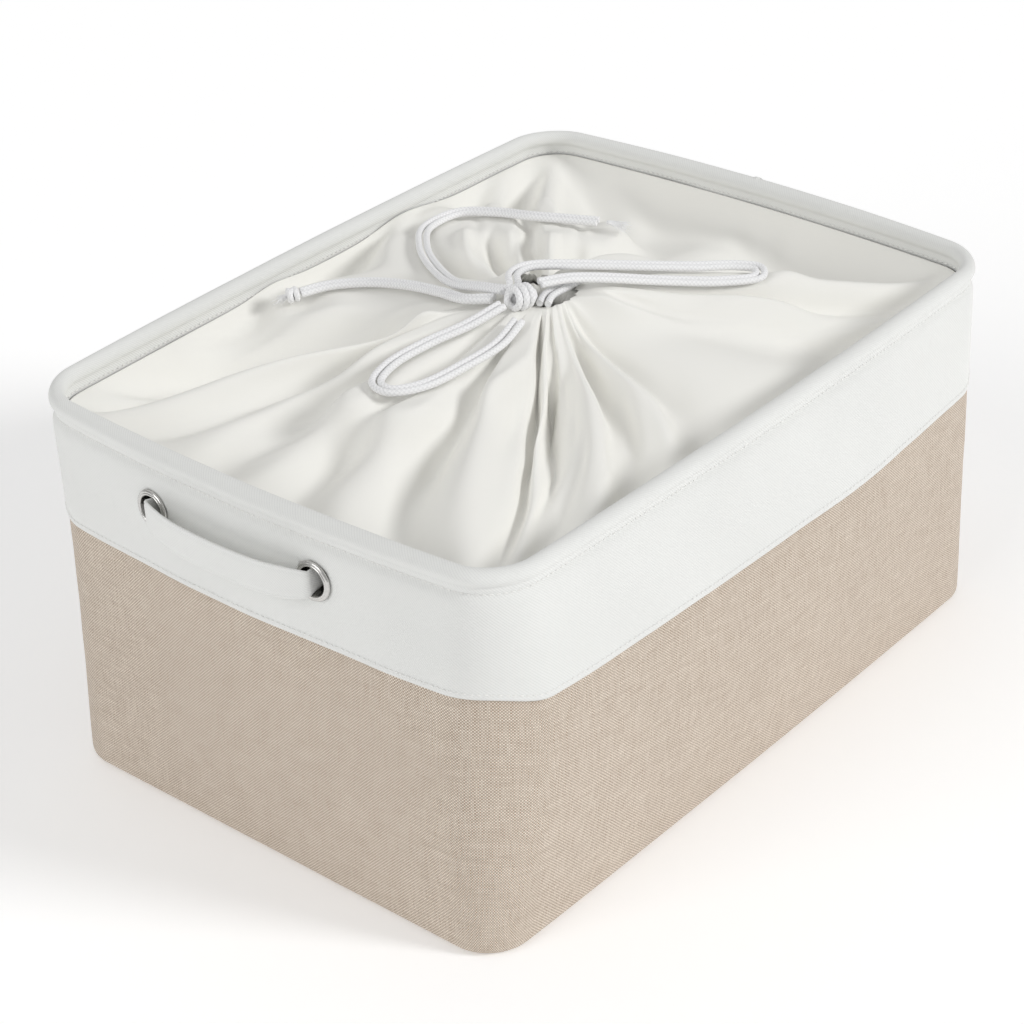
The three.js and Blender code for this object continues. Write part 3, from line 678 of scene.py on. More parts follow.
# ---- stage ----
class BIN_OT_stage(bpy.types.Operator):
    """Camera, soft lights and a pale floor"""

    bl_idname = "bin.stage"
    bl_label = "Stage"

    def execute(self, context):
        scene = context.scene
        camera_data = bpy.data.cameras.new("camera")
        camera_data.lens = 95.5
        camera_data.sensor_width = 36.0
        camera_data.clip_start, camera_data.clip_end = 0.05, 60.0
        camera = bpy.data.objects.new("camera", camera_data)
        scene.collection.objects.link(camera)
        right = Vector((0.64265, -0.76517, -0.03884)).normalized()
        forward = Vector((0.64291, 0.56615, -0.5159)).normalized()
        up = right.cross(forward)
        turn = Matrix((right, up, -forward)).transposed()
        camera.matrix_world = Matrix.Translation((-0.8833, -0.7637, 0.7956)) @ turn.to_4x4()
        scene.camera = camera

        floor_mesh = bpy.data.meshes.new("floor")
        reach = 7.0
        floor_mesh.from_pydata(
            [(-reach, -reach, 0), (reach, -reach, 0), (reach, reach, 0), (-reach, reach, 0)], [], [(0, 1, 2, 3)])
        floor_mesh.transform(Matrix.Translation((0, 0, -0.0004)))
        floor = link("floor", floor_mesh)
        paint, _, shader = new_material("pale_floor")
        shader.inputs["Base Color"].default_value = (0.95, 0.95, 0.95, 1)
        shader.inputs["Emission Color"].default_value = (1, 1, 1, 1)
        shader.inputs["Emission Strength"].default_value = 0.2
        shader.inputs["Roughness"].default_value = 0.9
        floor_mesh.materials.append(paint)

        world = bpy.data.worlds.new("studio")
        scene.world = world
        world.use_nodes = True
        world.node_tree.nodes["Background"].inputs["Color"].default_value = (1, 1, 1, 1)
        world.node_tree.nodes["Background"].inputs["Strength"].default_value = 0.42
        self.lamp(scene, "key", (0.45, -1.0, 0.58), 15, 1.50)
        self.lamp(scene, "fill", (-1.0, 0.15, 0.60), 40, 0.82)
        self.lamp(scene, "top", (0.1, 0.5, 1.0), 60, 0.25)
        scene.view_settings.view_transform = "Standard"
        return {"FINISHED"}

    def lamp(self, scene, name, towards, spread, strength):
        """A wide, soft light from a direction; spread is its disc in degrees."""
        data = bpy.data.lights.new(name, "SUN")
        data.angle = math.radians(spread)
        data.energy = strength
        lamp = bpy.data.objects.new(name, data)
        lamp.rotation_euler = Vector(towards).to_track_quat("Z", "Y").to_euler()
        scene.collection.objects.link(lamp)


# ---- cords ----
def smooth_path(points, spacing):
    """Evenly spaced points of a smooth curve through points (centripetal Catmull-Rom)."""
    p = [np.array(q, float) for q in points]
    p = [2 * p[0] - p[1], *p, 2 * p[-1] - p[-2]]
    fine = []
    for a, b, c, d in zip(p, p[1:], p[2:], p[3:]):
        t0, t1 = 0.0, np.linalg.norm(b - a) ** 0.5
        t2 = t1 + np.linalg.norm(c - b) ** 0.5
        t3 = t2 + np.linalg.norm(d - c) ** 0.5
        for t in np.linspace(t1, t2, 24, endpoint=False):
            ab = (t1 - t) / (t1 - t0) * a + (t - t0) / (t1 - t0) * b
            bc = (t2 - t) / (t2 - t1) * b + (t - t1) / (t2 - t1) * c
            cd = (t3 - t) / (t3 - t2) * c + (t - t2) / (t3 - t2) * d
            abc = (t2 - t) / (t2 - t0) * ab + (t - t0) / (t2 - t0) * bc
            bcd = (t3 - t) / (t3 - t1) * bc + (t - t1) / (t3 - t1) * cd
            fine.append((t2 - t) / (t2 - t1) * abc + (t - t1) / (t2 - t1) * bcd)
    fine = np.array([*fine, p[-2]])
    along = steps_along(fine)
    count = max(int(round(along[-1] / spacing)), 2)
    even = np.linspace(0, along[-1], count + 1)
    return np.stack([np.interp(even, along, fine[:, axis]) for axis in range(3)], -1)


def tangents(path, closed=False):
    if closed:
        step = np.roll(path, -1, 0) - np.roll(path, 1, 0)
    else:
        step = np.gradient(path, axis=0)
    return step / np.maximum(np.linalg.norm(step, axis=1, keepdims=True), 1e-12)


def strand_path(route, side, spacing):
    """One strand of a doubled cord: it runs beside the middle line and crosses over it slowly."""
    middle = smooth_path(route, spacing)
    across = np.cross(tangents(middle), (0, 0, 1))
    across /= np.linalg.norm(across, axis=1, keepdims=True)
    return middle + across * side * PAIR


def braid_height(turn, along, crossings):
    """Relief of a round braid, 0 in the gaps and 1 on the strands. turn is 0..1 round the cord."""
    a = turn * crossings + along
    b = -turn * crossings + along
    fa, fb = np.sin(np.pi * (a % 1)), np.sin(np.pi * (b % 1))
    over = (np.floor(a) + np.floor(b)) % 2
    return np.where(over > 0.5, fa * (0.45 + 0.55 * fb), fb * (0.45 + 0.55 * fa))


def braided_tube(name, path, diameter, pitch, closed=False, sides=20):
    """A round braided cord along path, with the braid in its surface."""
    path = np.asarray(path, float)
    along_dir = tangents(path, closed)
    normal = np.cross(along_dir[0], (0.31, 0.17, 0.93))
    normal /= np.linalg.norm(normal)
    normals = []
    for d in along_dir:
        normal = normal - d * (normal @ d)
        normal /= np.linalg.norm(normal)
        normals.append(normal)
    normals = np.array(normals)
    sideways = np.cross(along_dir, normals)
    turn = np.arange(sides) / sides
    if closed:
        last = normals[-1] - along_dir[0] * (normals[-1] @ along_dir[0])
        twist = math.atan2(last @ sideways[0], last @ normals[0])
        share = np.arange(len(path)) / len(path)
        lag = -twist * share
    else:
        lag = np.zeros(len(path))
    angle = 2 * np.pi * turn[None, :] + lag[:, None]
    length = steps_along(path)
    crossings = 4
    if closed:
        total = length[-1] + np.linalg.norm(path[0] - path[-1])
        along = length / total * max(round(total / pitch / 2) * 2, 2)
    else:
        along = length / pitch
    relief = braid_height(turn[None, :], along[:, None], crossings)
    radius = diameter / 2 * (0.90 + 0.12 * relief)
    rows = path[:, None] + radius[..., None] * (
        np.cos(angle)[..., None] * normals[:, None] + np.sin(angle)[..., None] * sideways[:, None])
    mesh = grid_mesh(name, rows, True, closed)
    # Painted shade mask: 1 in the gaps between strands, 0 on them; the cord's material greys the gaps by it.
    gap = np.clip(1 - relief * 1.5, 0, 1).ravel()
    if not closed:
        cap_ends(mesh, sides, len(path))
    mesh.attributes.new("strand_gap_shade", "FLOAT", "POINT").data.foreach_set("value", gap.astype(np.float32))
    return point_outwards(mesh)


def joined(name, meshes):
    """One mesh from several, which are removed."""
    pieces = [link(f"part_{i}", mesh) for i, mesh in enumerate(meshes)]
    with bpy.context.temp_override(active_object=pieces[0], selected_editable_objects=pieces):
        bpy.ops.object.join()
    mesh = pieces[0].data
    mesh.name = name
    bpy.data.objects.remove(pieces[0])
    return mesh


def tuft_meshes(start, direction, length, spread, count, seed):
    """Loose fibres fanning out of a cord's end."""
    rng = np.random.default_rng(seed)
    direction = np.array(direction, float) / np.linalg.norm(direction)
    side = np.cross(direction, (0, 0, 1))
    side /= np.linalg.norm(side)
    up = np.cross(side, direction)
    meshes = []
    for i in range(count):
        turn, reach = rng.uniform(0, 2 * np.pi), rng.uniform(0.15, 1.0)
        out = (math.cos(turn) * side + 0.55 * math.sin(turn) * up) * reach
        t = np.linspace(0, 1, 7)[:, None]
        own = length * rng.uniform(0.6, 1.0)
        curl = rng.normal(size=3) * 0.10 * own
        path = np.array(start) + out * CORD * 0.38 + direction * own * t
        path = path + out * spread * t ** 1.6 + curl * t ** 2 - np.array((0, 0, 0.0016)) * t ** 2
        frame_a = np.cross(direction, out + 1e-3)
        frame_a /= np.linalg.norm(frame_a)
        frame_b = np.cross(direction, frame_a)
        thick = 0.00030 * (1 - 0.55 * t[:, 0])
        ring = np.stack([np.cos(np.arange(5) * 2 * np.pi / 5), np.sin(np.arange(5) * 2 * np.pi / 5)], -1)
        rows = path[:, None] + thick[:, None, None] * (ring[None, :, :1] * frame_a + ring[None, :, 1:] * frame_b)
        mesh = cap_ends(grid_mesh(f"fibre_{i}", rows, True, False), 5, 7)
        # No painted strand-gap shade on the loose fibres.
        gap = mesh.attributes.new("strand_gap_shade", "FLOAT", "POINT")
        gap.data.foreach_set("value", np.zeros(len(mesh.vertices), np.float32))
        meshes.append(point_outwards(mesh))
    return meshes


def ring_path(centre, axis, across, tall, spacing=0.0005, lift=0.0):
    """Closed ellipse of points round an axis through centre: its half sizes are across and tall."""
    axis = Vector(axis).normalized()
    side = axis.cross(Vector((0, 0, 1))).normalized()
    up = side.cross(axis)
    count = int(2 * math.pi * max(across, tall) / spacing)
    angle = np.arange(count) * 2 * np.pi / count
    centre, side, up, axis = (np.array(v) for v in (centre, side, up, axis))
    path = centre + across * np.cos(angle)[:, None] * side + tall * np.sin(angle)[:, None] * up
    return path + lift * np.sin(angle)[:, None] * axis


class BIN_OT_cords(bpy.types.Operator):
    """The doubled drawstring: two loops, two tails and the short lead into the casing"""

    bl_idname = "bin.cords"
    bl_label = "Cords"

    def execute(self, context):
        pitch = context.scene.bin_sizes.braid_pitch
        finish = material("braided_cord")
        ends = self.tail_ends(pitch, finish)
        for name, route in ROUTES.items():
            for letter, side in (("a", -1), ("b", 1)):
                path = strand_path(route, side, 0.0004)
                node = f"{name}_strand_{letter}"
                piece = link(f"{name}_cord_{letter}", braided_tube(node, path, CORD, pitch))
                finish_piece(piece, finish, "root", "cord_white", node)
        self.bow_knot(pitch, finish)
        return {"FINISHED"}

    def bow_knot(self, pitch, finish):
        """Two turns of the doubled cord round the crossing, and the cord that goes over it."""
        meshes = []
        along = Vector((0.93, -0.37, 0.0))
        for i, (shift, across, tall) in enumerate(((-0.0038, 0.0058, 0.0042), (-0.0004, 0.0063, 0.0047),
                                                   (0.0030, 0.0058, 0.0042))):
            path = ring_path(KNOT + along.normalized() * shift, along, across, tall, lift=0.0012)
            meshes.append(braided_tube(f"turn_{i}", path, CORD, pitch, closed=True))
        over = Vector((0.35, 0.94, 0.0))
        path = ring_path(KNOT + Vector((0, 0, -0.0005)), over, 0.0072, 0.0038, lift=0.0018)
        meshes.append(braided_tube("turn_over", path, CORD, pitch, closed=True))
        piece = link("bow_knot_turns", joined("bow_knot_turns", meshes))
        finish_piece(piece, finish, "root", "cord_white", "bow_knot")

    def tail_ends(self, pitch, finish):
        """A small knot with a tuft on the left tail and a frayed end on the back tail."""
        ends = {}
        for i, name in enumerate(("tail_left", "tail_back")):
            route = ROUTES[name]
            end, before = Vector(route[-1]), Vector(route[-2])
            along = (end - before).normalized()
            centre = end + along * 0.004
            tuft = {"tail_left": (0.0085, 0.0022, 26), "tail_back": (0.0130, 0.0040, 34)}[name]
            meshes = tuft_meshes(centre + along * 0.001, along, tuft[0], tuft[1], tuft[2], 11 + i)
            if name == "tail_left":
                side = along.cross(Vector((0, 0, 1))).normalized()
                for j, (axis, shift) in enumerate(((along, -0.0016), (along + side * 0.7, 0.0), (along, 0.0018))):
                    path = ring_path(centre + along * shift, axis, 0.0032, 0.0024)
                    meshes.append(braided_tube(f"tail_turn_{j}", path, CORD * 0.86, pitch, closed=True, sides=16))
            piece = link(f"{name}_end", joined(f"{name}_end", meshes))
            finish_piece(piece, finish, "root", "cord_white", f"{name}_knot")
            ends[name] = piece
        return ends


# ---- outer fabric and band ----
def body_section():
    """Closed section of the lower fabric: rolled under at the base, tucked behind the band at the top."""
    out, tucked = BODY_INSET, 0.0018
    fold = 0.0045
    outer = [(0.0062, 0.0)]
    outer += [(out + fold * (1 - math.cos(a)), fold * (1 - math.sin(a))) for a in np.radians(np.arange(75, -1, -15))]
    outer += [(out, z) for z in np.linspace(0.010, SEAM - 0.006, 34)]
    outer += [(out + 0.0001, SEAM - 0.002), (tucked, SEAM + 0.0012), (tucked, SEAM + 0.009)]
    inner = [(tucked + CLOTH, SEAM + 0.009), (tucked + CLOTH, SEAM + 0.001), (out + CLOTH + 0.0002, SEAM - 0.003)]
    inner += [(out + CLOTH, z) for z in np.linspace(SEAM - 0.010, 0.008, 12)]
    return outer + inner + [(0.0048, 0.0022), (0.0062, 0.0012)]


def band_section():
    """Closed section of the band: folded lower edge, pinched under the roll, hem down the inside."""
    axis_z = HEIGHT - ROLL_RADIUS

    def on_roll(radius, degrees):
        a = math.radians(degrees)
        return (ROLL_RADIUS + radius * math.cos(a), axis_z + radius * math.sin(a))

    stitch = HEIGHT - STITCH_DROP
    outer = [(0.0011, SEAM + 0.0006), (0.0004, SEAM - 0.0001), (0.00005, SEAM + 0.0006), (0.0, SEAM + 0.0020)]
    outer += [(0.0004, SEAM + 0.0034), (0.0003, SEAM + 0.0060)]
    low, high = SEAM + 0.008, stitch - 0.008
    outer += [(0.0003 + 0.0002 * t, low + (high - low) * t) for t in np.linspace(0, 1, 13)]
    outer += [(0.0006, stitch - 0.005), (0.0009, stitch - 0.0028), (0.0016, stitch - 0.0012)]
    outer += [(0.0025, stitch - 0.0002), (0.0026, stitch + 0.0005), (0.0021, stitch + 0.0016)]
    outer += [(0.0020, stitch + 0.0028), (0.0023, stitch + 0.0038)]
    outer += [on_roll(ROLL_RADIUS, a) for a in np.arange(-134, -411, -12)]
    hem_low = HEIGHT - 0.0138
    inner_hem = [(0.0062, axis_z - 0.0042), (0.0061, hem_low + 0.0022), (0.0062, hem_low + 0.0008)]
    inner_hem += [(0.0057, hem_low), (0.0051, hem_low + 0.0006)]
    bore = 0.0025
    inner_roll = [on_roll(bore, a) for a in range(-60, 241, 25)]
    inner_leg = [(0.0033, axis_z - 0.0042), (0.0036, stitch), (0.0021, stitch - 0.006), (0.0018, SEAM + 0.02)]
    return outer + inner_hem + inner_roll + inner_leg + [(0.0014, SEAM + 0.006), (0.0013, SEAM + 0.001)]


def wall_waves(rows):
    """Shallow, slow waves of soft cloth on the walls. The base and the rim stay true."""
    flat = rows.reshape(-1, 3)
    height = np.clip(flat[:, 2] / HEIGHT, 0, 1)
    strength = np.sin(np.pi * np.clip(height, 0.02, 0.97)) ** 0.6
    wave = soft_waves(flat * (1, 1, 0.6), 0.085, 3) * 0.0006 + soft_waves(flat, 0.035, 4) * 0.00018
    return seam_rise(moved_out(rows, (wave * strength).reshape(rows.shape[:2])))


class BIN_OT_fabric(bpy.types.Operator):
    """The linen lower fabric, its base and the white band with the rolled rim"""

    bl_idname = "bin.fabric"
    bl_label = "Outer fabric"

    def execute(self, context):
        body = link("body_fabric_cloth", sleeve("body_fabric_cloth", body_section(), shift=wall_waves))
        finish_piece(body, material("linen_weave"), "root", "linen_fabric", "body_fabric")
        self.base_cloth()
        band = link("upper_band_cloth", sleeve("upper_band_cloth", band_section(), shift=wall_waves))
        drilled(band)
        finish_piece(band, material("canvas_twill"), "root", "white_canvas", "upper_band")
        self.rim_seam()
        return {"FINISHED"}

    def rim_seam(self):
        """Where the ends of the rolled rim meet: one lies over the other with a folded edge."""
        axis_z = HEIGHT - ROLL_RADIUS
        wall = end_wall(0.0, HEIGHT, 0)
        rows = []
        for y, lift in ((-0.0030, 0.00002), (-0.0028, 0.0002), (-0.0010, 0.0003), (-0.0001, 0.00035), (0.0, 0.00002)):
            turn = np.radians(np.arange(-70, 251, 10))
            reach = ROLL_RADIUS + lift
            rows.append(np.stack([wall.x + ROLL_RADIUS + reach * np.cos(turn), np.full(len(turn), y - 0.003),
                                  axis_z + reach * np.sin(turn)], -1))
        under = [row - (row - np.array([wall.x + ROLL_RADIUS, 0, axis_z])) * (0.12, 0, 0.12)
                 for row in rows[::-1]]
        mesh = grid_mesh("rim_seam_cloth", rows + under, False, True)
        mesh.transform(ENDS["right"])
        piece = link("rim_seam_cloth", point_outwards(mesh))
        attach(piece, "root")
        piece.data.materials.clear()
        piece.data.materials.append(material("canvas_twill"))

    def base_cloth(self):
        """The flat cloth under the bin, with a shallow quilted edge."""
        rows = []
        for share in np.linspace(1.0, 0.04, 22):
            rows.append(outline(0.0, 0.0056, 0.0) * (share, share, 1))
        lower = np.array(rows)
        lower[..., 2] = 0.0001 + 0.00025 * (1 + soft_waves(lower.reshape(-1, 3), 0.06, 9).reshape(lower.shape[:2]))
        upper = lower[::-1].copy()
        upper[..., 2] = 0.0012
        mesh = grid_mesh("base_cloth", np.concatenate([lower, upper]), True, True)
        planar_uv(mesh)
        piece = link("base_cloth", point_outwards(mesh))
        finish_piece(piece, material("linen_weave"), "root", "linen_fabric", "base_fabric")


def planar_uv(mesh):
    """A UV map in metres looking straight down."""
    co = np.zeros(len(mesh.vertices) * 3)
    mesh.vertices.foreach_get("co", co)
    index = np.zeros(len(mesh.loops), int)
    mesh.loops.foreach_get("vertex_index", index)
    mesh.uv_layers["UVMap"].uv.foreach_set("vector", co.reshape(-1, 3)[index, :2].astype(np.float32).ravel())


# ---- lining ----
class BIN_OT_lining(bpy.types.Operator):
    """The inside cloth on the walls and the floor"""

    bl_idname = "bin.lining"
    bl_label = "Lining"

    def execute(self, context):
        inset, lip, thick = 0.006, 0.0033, 0.0008
        shoulder, top = 0.1788, 0.1905
        outer = [(inset, z) for z in np.linspace(0.0015, shoulder, 22)]
        outer += [(0.0048, shoulder + 0.0035), (lip, shoulder + 0.0065), (lip, top)]
        inner = [(lip + thick, top), (lip + thick, shoulder + 0.0068), (0.0056, shoulder + 0.0038)]
        inner += [(inset + thick, z) for z in np.linspace(shoulder, 0.0015, 22)]
        wall = link("lining_wall_cloth", sleeve("lining_wall_cloth", outer + inner, 0.0))
        drilled(wall)
        finish_piece(wall, material("lining_cloth"), "root", "lining_cloth", "lining_wall")
        rows = np.array([outline(0.0019, inset + thick + 0.0005, 0.0) * (s, s, 1) for s in np.linspace(1, 0.04, 20)])
        lower, upper = rows.copy(), rows[::-1].copy()
        lower[..., 2], upper[..., 2] = 0.0015, 0.0023
        mesh = grid_mesh("lining_floor_cloth", np.concatenate([lower, upper]), True, True)
        planar_uv(mesh)
        floor = link("lining_floor_cloth", point_outwards(mesh))
        finish_piece(floor, material("lining_cloth"), "root", "lining_cloth", "lining_floor")
        return {"FINISHED"}


# ---- gathered cover ----
COVER_AROUND, COVER_ROWS = 400, 60


def cover_edge(count):
    """Evenly spaced points of the line where the cover is sewn to the rim."""
    line = outline(COVER_EDGE_Z, COVER_INSET, 0.0)
    closed = np.vstack([line, line[:1]])
    along = steps_along(closed)
    even = np.linspace(0, along[-1], count, endpoint=False)
    return np.stack([np.interp(even, along, closed[:, axis]) for axis in range(3)], -1), along[-1]


def mouth_ring(count, radius, height, edge):
    """Where the gathered edge ends up: a ring with small pleats, each point facing its own place on the rim."""
    away = edge[:, :2] - np.array(MOUTH[:2])
    angle = np.unwrap(np.arctan2(away[:, 1], away[:, 0]))
    along = np.linspace(angle[0], angle[0] + 2 * np.pi, count, endpoint=False)
    angle = 0.45 * angle + 0.55 * along
    pleat = np.sin(angle * 19 + 1.1 * np.sin(angle * 3)) + 0.5 * np.sin(angle * 31 + 2.0)
    ring = radius - 0.0042 + 0.0006 * pleat
    return np.stack([MOUTH.x + ring * np.cos(angle), MOUTH.y + ring * np.sin(angle),
                     height + 0.0033 + 0.0006 * pleat], -1)


# Folds of the cover, seen from the mouth: direction and half width in degrees, height in metres (negative for a
# hollow), how far along it is highest (0 at the rim, 1 at the mouth), and 1 for a soft or 2 for a taut, sharp fold.
FOLDS = (
    (147, 6, 0.0130, 0.42, 2), (141, 4, -0.0060, 0.40, 1), (130, 10, -0.0160, 0.34, 1), (116, 9, 0.0030, 0.50, 1),
    (104, 4, -0.0050, 0.70, 1), (92, 13, 0.0110, 0.50, 1), (74, 3, -0.0120, 0.62, 1), (66, 5, 0.0070, 0.45, 1),
    (58, 3, -0.0120, 0.50, 1), (51, 4, 0.0090, 0.50, 2), (45, 3, -0.0090, 0.50, 1), (38, 4, 0.0080, 0.45, 1),
    (28, 5, -0.0060, 0.55, 1), (14, 12, -0.0080, 0.36, 1), (2.4, 1, 0.0050, 0.12, 2), (-4.2, 1, 0.0050, 0.12, 2),
    (2, 6, 0.0050, 0.62, 1), (-12, 10, -0.0120, 0.36, 1), (-25, 6, -0.0080, 0.36, 1), (-37, 6, 0.0115, 0.42, 2),
    (-43, 2, -0.0055, 0.50, 1), (-48, 4, 0.0065, 0.42, 2),
    (-57, 7, -0.0080, 0.42, 1), (-78, 15, 0.0120, 0.45, 1), (-99, 3, -0.0120, 0.62, 1), (-108, 6, 0.0110, 0.52, 1),
    (-117, 2.2, -0.0150, 0.64, 1), (-127, 7, 0.0130, 0.55, 1), (-137, 2.0, -0.0150, 0.60, 1),
    (-141, 2.0, 0.0110, 0.60, 2), (-145, 2.0, -0.0140, 0.60, 1), (-155, 7, 0.0130, 0.50, 1),
    (-165, 2.5, -0.0140, 0.55, 1), (-173, 5, 0.0120, 0.50, 2),
    (180, 3, -0.0100, 0.52, 1), (172, 5, 0.0085, 0.45, 1), (165, 2.5, -0.0090, 0.50, 1), (158, 5, 0.0080, 0.40, 1),
    (152, 3, -0.0080, 0.45, 1),
)


class BIN_OT_cover(bpy.types.Operator):
    """The cover: a tube of thin cloth, sewn inside the rim and drawn together in the middle"""

    bl_idname = "bin.cover"
    bl_label = "Gathered cover"

    def execute(self, context):
        sizes = context.scene.bin_sizes
        edge, around = cover_edge(COVER_AROUND)
        ring = mouth_ring(COVER_AROUND, sizes.mouth_radius, sizes.mouth_height, edge)
        laid = self.laid_in_folds(edge, ring)
        down = np.linalg.norm(np.diff(laid, axis=0), axis=-1) * 1.004
        across = np.linalg.norm(np.roll(laid, -1, 1) - laid, axis=-1) * 1.02
        points = self.settle(laid, down, across, 40)
        points = self.softened(self.up_to_cords(self.softened(points, 4, 1)), 1, 0)
        points = self.softened(self.under_cords(points, 0.016, 0.16), 3, 2)
        points = self.under_cords(points, 0.003, 0.5)
        piece = link("drawstring_cover_cloth", grid_mesh("drawstring_cover_cloth", points, True, False))
        self.fold_shade_depth(piece.data, points)
        thick = piece.modifiers.new("cloth thickness", "SOLIDIFY")
        thick.thickness = 0.0005
        thick.offset = 0.0
        finer = piece.modifiers.new("smooth folds", "SUBSURF")
        finer.levels = finer.render_levels = 1
        finish_piece(piece, material("cover_satin"), "root", "cover_satin", "drawstring_cover")
        return {"FINISHED"}

    def laid_in_folds(self, edge, ring):
        """The cloth as it is arranged before it settles: straight from the rim to the mouth, with its folds."""
        share = np.linspace(0, 1, COVER_ROWS)[:, None]
        points = edge[None] + (ring - edge)[None] * share[..., None]
        angle = np.degrees(np.arctan2(edge[:, 1] - MOUTH.y, edge[:, 0] - MOUTH.x))[None]
        height = 0.004 * np.sin(np.pi * share)
        for direction, width, rise, peak, kind in FOLDS:
            bend = 1.6 * np.sin(np.pi * share * 1.3 + direction)
            off = ((angle - direction - bend + 180) % 360 - 180) / width
            shape = np.exp(-np.abs(off)) * 1.1 if kind == 2 else np.exp(-off ** 2)
            power = peak / (1 - peak)
            along = (share ** power * (1 - share)) ** 0.9
            highest = (peak ** power * (1 - peak)) ** 0.9
            height = height + rise * shape * along / highest
        fine = soft_waves(points.reshape(-1, 3), 0.05, 21).reshape(points.shape[:2])
        points[..., 2] += height + 0.0012 * fine * np.sin(np.pi * share)
        return points

    def fold_shade_depth(self, mesh, points):
        """Stores how deep in a fold each point lies, from 0 on top to 1 in the crease; the cover's material paints
        shade in the folds by it.
        """
        z = points[..., 2]
        total = np.zeros_like(z)
        for reach in (3, 6, 10):
            total += sum(np.roll(z, k, 1) for k in range(-reach, reach + 1)) / (2 * reach + 1) - z
        depth = np.clip(total / 0.010, 0, 1)
        mesh.attributes.new("fold_shade_depth", "FLOAT", "POINT").data.foreach_set(
            "value", depth.astype(np.float32).ravel())

    def settle(self, laid, down, across, steps):
        """Cloth simulation by distance links: the sewn edge and the mouth are held, the cloth between them falls."""
        slant = np.sqrt(down ** 2 + ((across[1:] + across[:-1]) / 2) ** 2)
        links = [
            (0, 1, across, 1.0), (1, 0, down, 1.0), (1, 1, slant, 0.5), (1, -1, slant, 0.5),
            (0, 2, across * 2, 0.12), (2, 0, down[1:] * 2, 0.2),
        ]
        points, before = laid.copy(), laid.copy()
        fall = np.array([0, 0, -9.81 * 0.002 ** 2])
        for _ in range(steps):
            drift = (points - before) * 0.94
            before = points.copy()
            points = points + drift + fall
            for _ in range(4):
                self.pull(points, links)
                points[[0, -1]] = laid[[0, -1]]
        return points

    def pull(self, points, links):
        """One round of the links: each brings its two ends towards their distance in the flat cloth."""
        total = np.zeros_like(points)
        weight = np.zeros(points.shape[:2])
        for rows, columns, rest, push in links:
            last = len(points) - rows
            step = np.roll(points, -columns, 1)[rows:] - points[:last]
            length = np.linalg.norm(step, axis=-1)
            strain = (length - rest) / np.maximum(length, 1e-9)
            near = rows + abs(columns) < 3 and rows < 2 and abs(columns) < 2
            stiff = np.where(strain < 0, push, 1.0 if near else 0.0)
            move = step * (strain * stiff * 0.5)[..., None]
            total[:last] += move
            total[rows:] -= np.roll(move, columns, 1)
            weight[:last] += push
            weight[rows:] += push
        points += total * (1.6 / np.maximum(weight, 1))[..., None]

    def up_to_cords(self, points):
        """Lifts or lowers the cloth in wide, soft swells until the cords lie on it."""
        points = points.copy()
        places = np.concatenate([smooth_path(route, 0.006) for name, route in ROUTES.items() if name != "lead"])
        away = np.linalg.norm(places[:, :2] - np.array(MOUTH[:2]), axis=-1)
        places = places[away > 0.026]
        flat = points.reshape(-1, 3)
        for _ in range(3):
            gap = np.linalg.norm(flat[None, :, :2] - places[:, None, :2], axis=-1)
            near = np.exp(-(gap / 0.006) ** 2)
            here = (near * flat[None, :, 2]).sum(1) / near.sum(1)
            needed = places[:, 2] - CORD / 2 - 0.0012 - here
            weight = np.exp(-(gap / 0.016) ** 2)
            total = weight.sum(0)
            flat[:, 2] += (weight * needed[:, None]).sum(0) / np.maximum(total, 1.0)
        return flat.reshape(points.shape)

    def softened(self, points, down, around):
        """Rounds off the smallest wrinkles: passes down the folds and across them."""
        points = points.copy()
        for k in range(max(down, around)):
            if k < down:
                points[1:-1] += 0.5 * ((points[2:] + points[:-2]) / 2 - points[1:-1])
            if k < around:
                sides = (np.roll(points, 1, 1) + np.roll(points, -1, 1)) / 2
                points[1:-1] += 0.5 * (sides - points)[1:-1]
        return points

    def under_cords(self, points, reach, slope):
        """Presses the cloth down wherever a cord lies on it, and around it out to reach."""
        points = points.copy()
        for route in ROUTES.values():
            for place in smooth_path(route, 0.003):
                gap = np.linalg.norm(points[..., :2] - place[:2], axis=-1)
                limit = place[2] - CORD / 2 - 0.0010 + slope * np.clip(gap - PAIR - CORD / 2 - 0.001, 0, None)
                press = (gap < CORD / 2 + PAIR + reach) & (points[..., 2] > limit)
                points[..., 2] = np.where(press, limit, points[..., 2])
        for name in ("tail_left", "tail_back"):
            place, before = np.array(ROUTES[name][-1]), np.array(ROUTES[name][-2])
            place = place + (place - before) / np.linalg.norm(place - before) * 0.008
            gap = np.linalg.norm(points[..., :2] - place[:2], axis=-1)
            points[..., 2] = np.minimum(points[..., 2], place[2] - 0.0056 + 0.4 * np.clip(gap - 0.011, 0, None))
        return points


